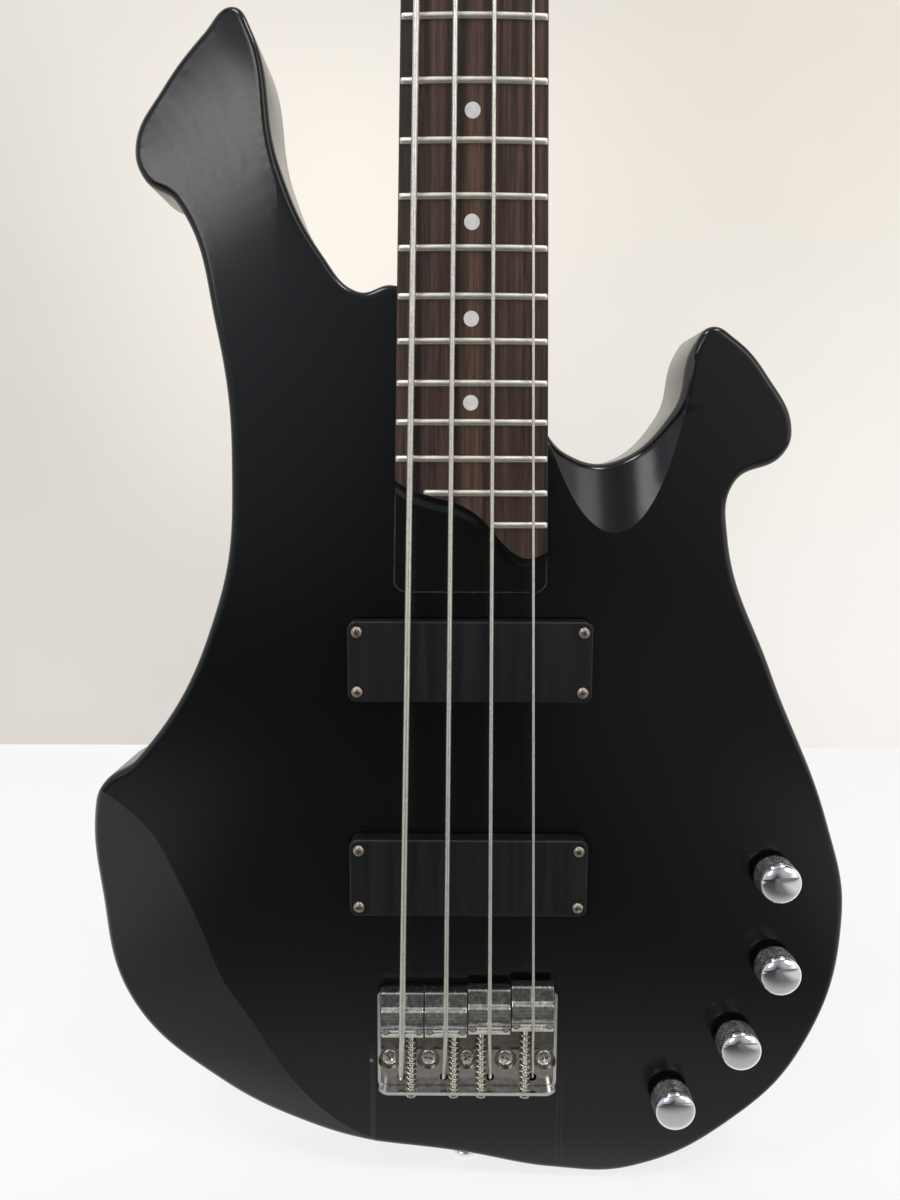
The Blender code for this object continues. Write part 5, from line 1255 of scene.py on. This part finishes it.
def make_saddle(index):
    name = STRINGS[index]
    x = BRIDGE_STRING_X[index]
    s = RIDGE_S[index]
    low = PLATE_FLOOR + 0.0006
    side = [(along * MM, RIDGE_TOP - down * MM) for along, down in SADDLE_SIDE]
    shape = prism([(-0.0055, low), (0.015, low)] + side, -SADDLE_WIDTH / 2, SADDLE_WIDTH / 2)
    shape.transform(Matrix(((0, 0, 1, 0), (1, 0, 0, 0), (0, 1, 0, 0), (0, 0, 0, 1))))
    fix_normals(shape)
    radius = STRING_GAUGE[index] / 2 + 0.00025
    centre = RIDGE_TOP + STRING_GAUGE[index] / 2 - 0.0003
    groove = moved(rod(radius, -0.02, 0.02, 24), at(0, 0, centre, math.pi / 2))
    lines = [box((-0.0078, along - 0.00022, 0.0105), (0.0078, along + 0.00022, 0.0140))
             for along in (0.0052, 0.0036)]
    pockets = [moved(rod(0.0019, -0.0040, 0.0100, 28), at(side_x, -0.0018, 0.0105))
               for side_x in (-HEIGHT_SCREW_X, HEIGHT_SCREW_X)]
    bore = moved(rod(0.00165, -0.0153, 0.010, 24),
                 at(INTONATION_X[index] - x, -0.0055, SCREW_H, math.pi / 2))
    notch = box((-0.0030, -0.010, 0.0098), (0.0030, -0.0040, 0.020))
    shape = carved(shape, [groove, joined(*lines), bore, notch], bevel=0.00035, segments=2,
                   angle=35)
    shape = carved(shape, [joined(*pockets)])
    node = "saddle_" + name
    piece(node + "_block", moved(shape, at(x, s, 0)), SADDLE_CHROME, (node,), node,
          weighted=True)
    for number, side in enumerate((-1, 1), 1):
        screw = lathe(((0, 0.0108), (0.0006, 0.0108), (0.0007, 0.0118), (0.00115, 0.0118),
                       (0.0014, 0.0115), (0.0014, 0.0034), (0.0008, 0.0031), (0, 0.0031)), 24)
        piece("%s_height_screw_%d" % (node, number),
              moved(screw, at(x + side * HEIGHT_SCREW_X, s - 0.0018, 0)), STEEL, (node,),
              node, smooth=35)


def threaded(radius, low, high, pitch=0.0005, depth=0.00012, steps=20):
    """A rod with a screw thread cut as fine rings, closed at both ends."""
    profile = [(0, high), (radius - depth, high)]
    place = high - pitch / 2
    while place > low + pitch:
        profile += [(radius, place), (radius - depth, place - pitch / 2)]
        place -= pitch
    profile += [(radius - depth, low), (0, low)]
    return lathe(profile, steps)


def make_intonation(index):
    """The screw behind a saddle and the spring round it."""
    name = STRINGS[index]
    x = INTONATION_X[index]
    rear = RIDGE_S[index] - 0.0055
    seat = PLATE_REAR - SEAT_GAP
    thread = threaded(0.0014, -0.0001, rear + 0.011 - seat)
    head = carved(lathe(((0, -0.0016), (0.0012, -0.0016), (0.0019, -0.0013), (0.0024, -0.0008),
                         (0.0024, 0), (0, 0)), 32), cross_slots(0.0016, 0.0004, -0.004, -0.0009))
    lie = at(x, seat, SCREW_H, -math.pi / 2)
    body = "intonation_screw_" + name
    piece(body + "_thread", moved(thread, lie), STEEL, (body,), body, smooth=50)
    piece(body + "_head", moved(head, lie), STEEL, (body,), body, smooth=35)

    wire = 0.00042
    start = PLATE_REAR + REAR_WALL + SEAT_GAP + wire
    end = rear - SEAT_GAP - wire
    count = SPRING_CURLS * 24
    points = []
    for step in range(count + 1):
        across, high = circled(0.0022, 2 * math.pi * step / 24, (x, SCREW_H))
        points.append((across, start + (end - start) * (step / count), high))
    spring = soft_piece("spring_%s_wire" % name, tube(points, wire, 10), SPRING_STEEL)
    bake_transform(spring)
    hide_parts("spring_" + name)


def soft_piece(name, mesh, mat):
    """A shown piece linked to the scene on its own, attached to no body."""
    mesh = finished(moved(mesh, FACE), mat, 60)
    obj = scene_link(bpy.data.objects.new(name, mesh))
    return obj


def between(a, b, count):
    a, b = Vector(a), Vector(b)
    return [a + (b - a) * (k / count) for k in range(count)]


def make_string(index):
    """A string: from its ball in the body over the saddle, and on to its post."""
    name = STRINGS[index]
    radius = STRING_GAUGE[index] / 2
    anchor = ANCHORS[index][0]
    x = BRIDGE_STRING_X[index]
    ridge = RIDGE_S[index]
    top = RIDGE_TOP + radius + 0.0001
    floor = ANCHOR_FLOOR + SEAT_GAP
    bend = PLATE_FLOOR + 0.0010 + radius + SEAT_GAP
    ball = 0.0029
    points = [(anchor, ANCHOR_S, floor + rise) for rise in (0, 0.0006, 0.0034, 0.004, 0.0046)]
    swell = [0.7 * ball / radius, ball / radius, ball / radius, 0.7 * ball / radius]
    for k in range(7):
        a = math.pi / 2 * k / 6 * 0.85
        points.append((anchor, ANCHOR_S + 0.0016 * (1 - math.cos(a)),
                       bend - 0.0014 + 0.0016 * math.sin(a)))
    near = (x, ridge - 0.0016, top - 0.00025)
    points += between(points[-1], near, 12)[1:] + [near, (x, ridge - 0.0006, top - 0.00002)]
    points += [(x, ridge + 0.0001, top)]
    swell += [1] * (len(points) - len(swell))
    mat = WOUND[index]
    tail = soft_piece("string_%s_tail" % name, tube(points, radius, 16, swell), mat)
    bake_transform(tail)
    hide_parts("string_" + name)

    nut_x = nut_string_x(index)
    nut_h = nut_string_h(index)
    from_ridge = (x, ridge - 0.0001, top)
    to_nut = (nut_x, SCALE_LENGTH + 0.001, nut_h)
    line = Vector(to_nut) - Vector(from_ridge)
    far = Vector(from_ridge) + line * (0.060 / line.length)
    points = between(from_ridge, far, 12) + between(far, to_nut, 40)
    points += [to_nut, (nut_x, HEAD_S + 0.0002, nut_h)]
    side = math.copysign(1, POST_X[index])
    wind = 0.0041 + radius + SEAT_GAP
    pitch = STRING_GAUGE[index] + 0.00048
    coil = []
    for step in range(2 * 28 + 1):
        a = 2 * math.pi * step / 28
        across = POST_X[index] - side * wind * math.cos(a)
        along = POST_T[index] + wind * math.sin(a)
        coil.append(head_to_face((across, along, 0.0072 + radius + pitch * step / 28)))
    points += between(points[-1], coil[0], 14)[1:] + coil
    main = soft_piece("string_%s_main" % name, tube(points, radius, 16), mat)
    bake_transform(main)
    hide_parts("string_" + name)


def make_knob(number, place):
    """A dome on a grip with crossing diagonal grooves, and its shaft."""
    radius, low, shoulder = 0.0089, 0.0034, 0.0120
    around, rows = 192, 34

    def plain(r, h):
        return [(*circled(r, 2 * math.pi * k / around), h) for k in range(around)]

    rings = [plain(0.0072, low + 0.0012), plain(0.0072, 0.0032), plain(0.0084, 0.0032),
             plain(0.0088, 0.0033)]
    for row in range(rows + 1):
        share = row / rows
        height = low + (shoulder - low) * share
        fade = min(1, share * 8, (1 - share) * 8)
        ring = []
        for k in range(around):
            turn = k / around
            sides = (turn * 48 + row / 4, turn * 48 - row / 4)
            groove = max(0, *(1 - abs((u % 1) - 0.5) * 4 for u in sides))
            r = radius - 0.00030 * groove * fade - 0.0001 * (1 - fade)
            ring.append((*circled(r, 2 * math.pi * turn), height))
        rings.append(ring)
    rings += [plain(0.0086, shoulder + 0.0002), plain(0.0084, shoulder + 0.0004)]
    dome = [((radius - 0.0001) * math.sin(a), shoulder + 0.0002 + 0.0033 * math.cos(a))
            for a in (math.pi / 2 * k / 14 for k in range(15))]
    cap = lathe([(0, dome[0][1])] + dome[1:] + [(0, shoulder + 0.0002)], 96)
    body = "knob_%d" % number
    for part, mesh, mat, smooth in (("grip", loft(rings), KNURL_CHROME, 18),
                                    ("dome", cap, MIRROR, 35),
                                    ("shaft", rod(0.003, -0.011, 0.0046), STEEL, 35)):
        piece("%s_%s" % (body, part), moved(mesh, at(*place)), mat, (body,), body,
              smooth=smooth)


def make_tuner(index):
    """A tuner's case on the headstock's back, its slotted post and its key."""
    name = STRINGS[index]
    px, pt = POST_X[index], POST_T[index]
    side = math.copysign(1, px)
    back = -HEAD_THICKNESS - SEAT_GAP
    half = 0.0115
    plan = rounded_rectangle(2 * half, 0.028, 0.0035, (0, 0.004), 6)
    case = carved(prism(plan, back - 0.0135, back), bevel=0.0024, segments=4, angle=50)
    sleeve = lathe(((0, 0.0032), (0.0064, 0.0032), (0.0068, 0.0029), (0.0078, 0.0012),
                    (0.0085, 0.0008), (0.0085, SEAT_GAP), (0.0064, SEAT_GAP),
                    (0.0064, back - 0.002), (0, back - 0.002)), 48)
    key_g = back - 0.0135 / 2
    outward = at(side * half, 0.0105, key_g, side * math.pi / 2, "Y")
    boss = moved(lathe(((0, 0.0025), (0.0034, 0.0025), (0.0040, 0.0019), (0.0040, -0.0025),
                        (0, -0.0025)), 36), outward)
    bore = rod(0.0050, back - 0.0063, 0.010, 36)
    key_bore = moved(rod(0.00265, -0.0083, 0.010, 28), outward)
    case = carved(case, [bore, key_bore], [sleeve, boss])
    node = "tuner_case_" + name
    piece(node + "_shell", moved(case, at(px, pt, 0)), CHROME, (node,), place=HEAD,
          smooth=32, weighted=True)

    post = lathe(((0, 0.0185), (0.0045, 0.0185), (0.0051, 0.0180), (0.0053, 0.0172),
                  (0.0053, 0.0166), (0.0042, 0.0155), (0.0041, 0.0150), (0.0041, 0.0060),
                  (0.0043, 0.0052), (0.00475, 0.0044), (0.00475, back - 0.006),
                  (0, back - 0.006)), 40)
    slot = box((-0.010, -0.0013, 0.0145), (0.010, 0.0013, 0.030))
    post = carved(post, [slot, rod(0.0014, 0.0085, 0.030, 20)])
    node = "tuner_post_" + name
    piece(node + "_chrome", moved(post, at(px, pt, 0)), CHROME, (node,), node, HEAD, 32, True)

    key_t = pt + 0.0105
    start = head_half_width(key_t) + 0.0025
    inner = abs(px) + half - 0.008 - start
    shaft = lathe(((0, 0.0035), (0.0020, 0.0035), (0.0024, 0.0030), (0.0024, 0.0002),
                   (0.0021, 0), (0.0021, -0.0006), (0.0024, -0.0008), (0.0024, inner),
                   (0, inner)), 28)
    paddle = carved(paddle_shape(), bevel=0.0012, segments=4, angle=50)
    key = carved(shaft, joins=[paddle])
    turn = at(side * start, key_t, key_g, side * math.pi / 2, "Y")
    node = "tuner_key_" + name
    piece(node + "_chrome", moved(key, turn), CHROME, (node,), node, HEAD, 32, True)


def head_half_width(t):
    points = in_metres(HEAD_HALF)
    for (x0, t0), (x1, t1) in zip(points, points[1:]):
        if t0 <= t <= t1:
            return x0 + (x1 - x0) * (t - t0) / (t1 - t0)
    return points[-1][0]


def paddle_shape():
    half = 0.0215 / 2
    right = [(half * across, 0.0235 * along)
             for across, along in ((0.35, 0), (0.93, 0.33), (0.98, 0.66), (0.62, 0.92))]
    points = right + [(0, 0.0235)] + [(-x, s) for x, s in reversed(right)]
    plan = curve_points(points, 8, (0, len(points) - 1))
    mesh = prism([tuple(p) for p in resampled(plan, 0.0009)], -0.0023, 0.0023)
    mesh.transform(Matrix.Rotation(math.pi / 2, 4, "X"))
    return mesh


def make_rod_cover():
    plan = curve_points(mirrored(((9.5, 2.5), (8, 16), (8.6, 30)), (0, 40)), 10, (0, 6))
    cover = carved(prism(plan, SEAT_GAP, SEAT_GAP + 0.0016), bevel=0.0004, angle=50)
    piece("rod_cover_plastic", cover, COVER_PLASTIC, ("truss_rod_cover",), place=HEAD,
          weighted=True)
    add_screw("rod_cover_screw", ROD_COVER_SCREW, DULL_CHROME, ("truss_rod_cover",),
              at(0, 0.0372, 0.0019), HEAD)


def make_control_cover():
    low = -BODY_THICKNESS
    holes = [hole(x, s, 0.0027, -0.050, low + 0.0009, 28) for x, s in COVER_SCREWS]
    cover = carved(prism(curve_points(grown(CAVITY, 0.0056), 8), low, low + 0.002),
                   [joined(*holes)], bevel=0.0004, segments=2, angle=60)
    piece("control_cover_plastic", cover, COVER_PLASTIC, ("control_cover",), weighted=True)
    for number, (x, s) in enumerate(COVER_SCREWS, 1):
        add_screw("cover_screw_%d" % number, COVER_SCREW, DULL_CHROME, ("control_cover",),
                  at(x, s, low + 0.0003, math.pi))


def make_neck_plate():
    inner = -BODY_THICKNESS - SEAT_GAP
    outer = inner - 0.002
    plan = rounded_rectangle(0.050, 0.058, 0.005, (0, NECK_PLATE_S), 8)
    seats = [at(side * 0.019, NECK_PLATE_S + end * 0.023, outer, math.pi)
             for side in (-1, 1) for end in (-1, 1)]
    plate = carved(prism(plan, outer, inner), [sinks(seats, 0.0046, 0.0032, 0.0012, 36, 0.0006)],
                   bevel=0.0005, angle=60)
    piece("neck_plate_chrome", plate, CHROME, ("neck_plate",), weighted=True)
    for number, seat in enumerate(seats, 1):
        add_screw("neck_screw_%d" % number, NECK_SCREW, DULL_CHROME, ("neck_plate",),
                  seat @ Matrix.Rotation(0.4 * number, 4, "Z"))


def make_strap_buttons():
    button = ((0, 0.0118), (0.0026, 0.0118), (0.0032, 0.0130), (0.0066, 0.0130),
              (0.0074, 0.0127), (0.0078, 0.0119), (0.0077, 0.0108), (0.0072, 0.0100),
              (0.0056, 0.0088), (0.0046, 0.0072), (0.0044, 0.0052), (0.0047, 0.0030),
              (0.0053, 0.0014), (0.0056, 0.0008), (0.0056, 0), (0.0017, 0),
              (0.0017, -0.016), (0, -0.020))
    for node, turn in (("strap_button_tail", at(0, -0.0698, -HALF_BODY, math.pi / 2)),
                       ("strap_button_horn", at(-0.1010, 0.3840, -BODY_THICKNESS - SEAT_GAP,
                                                math.pi))):
        shape = carved(lathe(button, 56), cross_slots(0.0017, 0.0004, 0.0110, 0.0150))
        piece(node + "_chrome", moved(shape, turn), CHROME, (node,), smooth=32)


def make_jack():
    seat = 0.1651 - 0.0012 + SEAT_GAP
    floor = 0.0022 - 0.024
    jack = lathe(((0, floor), (0.0033, floor), (0.0033, 0.0020), (0.0036, 0.0022),
                  (0.0063, 0.0022), (0.0063, 0.0016), (0.0094, 0.0016), (0.0100, 0.0011),
                  (0.0100, 0), (0.0063, 0), (0.0063, -0.027), (0, -0.027)), 56)
    turn = at(seat, JACK_S, -HALF_BODY, math.pi / 2, "Y")
    piece("output_jack_steel", moved(jack, turn), STEEL, ("output_jack",), smooth=32)


def finish_inside():
    """Finish for the CAD pieces that stay hidden inside the body."""
    for names, mat in ((("pot_1", "pot_2", "pot_3", "pot_4", "truss_rod"), STEEL),
                       (("preamp_board",), CIRCUIT), (("battery",), BATTERY)):
        for name in names:
            finished(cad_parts[name].data, mat, 0)


def flat_stage(name, verts, mat):
    mesh = mesh_from(name, verts, [(0, 1, 2, 3)], closed=False)
    mesh.materials.append(mat)
    obj = scene_link(bpy.data.objects.new(name, mesh))


def area_lamp(name, place):
    light = bpy.data.lights.new(name, "AREA")
    light.energy = LAMP_POWER
    light.shape = "RECTANGLE"
    light.size, light.size_y = LAMP_SIZE
    obj = scene_link(bpy.data.objects.new(name, light))
    obj.location = place
    obj.rotation_euler = (Vector(LAMP_AIM) - Vector(place)).to_track_quat("-Z", "Y").to_euler()


def make_world():
    """A room that is dark in front, with two bright patches and paler sides."""
    world = bpy.data.worlds.new("room")
    bpy.context.scene.world = world
    world.use_nodes = True
    tree = world.node_tree
    place = new_node(tree, "TexCoord", output="Generated")
    total = ROOM_DARK
    for azimuth, elevation, outer, inner, colour in ROOM_LIGHTS:
        turn, rise = math.radians(azimuth), math.radians(elevation)
        toward = (math.sin(turn) * math.cos(rise), -math.cos(turn) * math.cos(rise),
                  math.sin(rise))
        dot = vector_node(tree, "DOT_PRODUCT", {0: place, 1: toward}, "Value")
        share = eased(tree, dot, math.cos(math.radians(outer)), math.cos(math.radians(inner)))
        total = added_tint(tree, total, share, colour)
    seen = new_node(tree, "LightPath", output="Is Camera Ray")
    shown = new_node(tree, "Mix", {"Factor": seen, MIX_A: total, MIX_B: SKY_SEEN},
                     MIX_RESULT, data_type="RGBA")
    set_inputs(tree.nodes["Background"], {"Color": shown, "Strength": 1})


def make_stage():
    floor = stage_material("pale_floor", (0.99, 0.99, 0.985), (), True)
    # The wall gets painted pools of light
    wall = stage_material("pale_wall", (0.75, 0.715, 0.66), WALL_LIGHT_POOLS)
    flat_stage("floor", [(-3, -2, 0), (3, -2, 0), (3, FLOOR_END, 0), (-3, FLOOR_END, 0)],
               floor)
    flat_stage("wall", [(-5, WALL_Y, -2), (5, WALL_Y, -2), (5, WALL_Y, 4), (-5, WALL_Y, 4)],
               wall)


def make_lights():
    for name, side in (("lamp_left", -1), ("lamp_right", 1)):
        area_lamp(name, (side * 0.9, -0.9, 2.4))


def make_camera():
    camera = bpy.data.cameras.new("camera")
    camera.lens = 27
    camera.sensor_width = 36
    camera.sensor_fit = "AUTO"
    camera.clip_start = 0.01
    rotation = Matrix.Rotation(CAMERA_TURN.length, 3, CAMERA_TURN.normalized())
    rows = rotation @ Matrix(((1, 0, 0), (0, -1, 0), (0, 0, -1)))
    right, down, ahead = [Vector((row[0], -row[2], row[1])) for row in rows]
    basis = Matrix((right, -down, -ahead)).transposed().to_4x4()
    obj = scene_link(bpy.data.objects.new("camera", camera))
    obj.matrix_world = Matrix.Translation(CAMERA_PLACE) @ basis
    bpy.context.scene.camera = obj


COVER_SCREWS = [grown(CAVITY, 0.0030)[corner] for corner in (0, 2, 4, 5, 7)]
PAINT = shader_material("black_paint", (0.0032, 0.0032, 0.0034), 0.20, shade=0.05,
                        grain=500, rough_spread=0.02)
NECK_PAINT = shader_material("neck_paint", (0.003, 0.003, 0.0032), 0.22, shade=0.05,
                             grain=500, rough_spread=0.02)
# The body's paint gets painted highlight lines and a spot beside the bridge, and a worn chip
add_painted_highlights_and_wear(PAINT)
ROSEWOOD = rosewood_material()
# Lighter paint for the heel's edge, a painted highlight
EDGE_HIGHLIGHT_PAINT = shader_material("edge_highlight_paint", (0.022, 0.022, 0.022), 0.25, shade=0.3, grain=150)
NICKEL = shader_material("nickel", (0.84, 0.81, 0.70), 0.44, 1.0, shade=0.05, grain=250,
                         rough_spread=0.04)
RUSTY_NICKEL = shader_material("rusty_nickel", (0.42, 0.37, 0.31), 0.42, 1.0, shade=0.4,
                               grain=900)
PEARL = shader_material("pearl", (0.62, 0.62, 0.60), 0.4, shade=0.08, grain=400)
NUT_BLACK = shader_material("nut_black", (0.02, 0.02, 0.02), 0.45, shade=0.2, grain=600)
PICKUP_PLASTIC = shader_material("pickup_plastic", (0.0052, 0.0056, 0.0064), 0.44, shade=0.12,
                                 grain=260, stretch=(1, 1, 0.05), bump=0.00001,
                                 bump_scale=4000)
COVER_PLASTIC = shader_material("cover_plastic", (0.015, 0.015, 0.016), 0.5, shade=0.1,
                                grain=500, bump=0.00002, bump_scale=3000)
CHROME = shader_material("chrome", (0.80, 0.80, 0.80), 0.10, 1.0, shade=0.04, grain=300,
                         rough_spread=0.03)
PLATE_CHROME = shader_material("plate_chrome", (0.19, 0.17, 0.145), 0.19, 1.0, shade=0.30,
                               grain=420, rough_spread=0.08)
# Brightness painted onto the bridge plate by height, with a painted highlight on the step wall
add_painted_plate_light(PLATE_CHROME)
SADDLE_CHROME = shader_material("saddle_chrome", (0.72, 0.71, 0.67), 0.20, 1.0, shade=0.15,
                                grain=600, rough_spread=0.10)
DULL_CHROME = shader_material("dull_chrome", (0.62, 0.61, 0.58), 0.25, 1.0, shade=0.15,
                              grain=900)
MIRROR = shader_material("knob_chrome", (0.88, 0.88, 0.88), 0.04, 1.0, shade=0.02, grain=200,
                         rough_spread=0.02)
KNURL_CHROME = shader_material("knurl_chrome", (0.50, 0.50, 0.50), 0.25, 1.0, shade=0.15,
                               grain=700)
STEEL = shader_material("steel", (0.60, 0.58, 0.54), 0.28, 1.0, shade=0.12, grain=700)
SPRING_STEEL = shader_material("spring_steel", (0.56, 0.50, 0.42), 0.27, 1.0, shade=0.15,
                               grain=900)
CIRCUIT = shader_material("circuit", (0.02, 0.12, 0.05), 0.6, shade=0.3, grain=250)
BATTERY = shader_material("battery", (0.05, 0.05, 0.06), 0.4, shade=0.2, grain=300)
WOUND = [wound_material() for _ in STRINGS]

make_body()
make_neck()
make_heel_edge()
make_fingerboard()
make_nut()
make_rod_cover()
make_pickups()
make_bridge()
for string_index in range(4):
    make_saddle(string_index)
    make_intonation(string_index)
    make_string(string_index)
    make_tuner(string_index)
for knob_number, knob_place in enumerate(KNOB_AT, 1):
    make_knob(knob_number, knob_place)
make_control_cover()
make_neck_plate()
make_strap_buttons()
make_jack()
finish_inside()
make_world()
make_stage()
make_lights()
make_camera()
bpy.context.scene.view_settings.view_transform = "Standard"
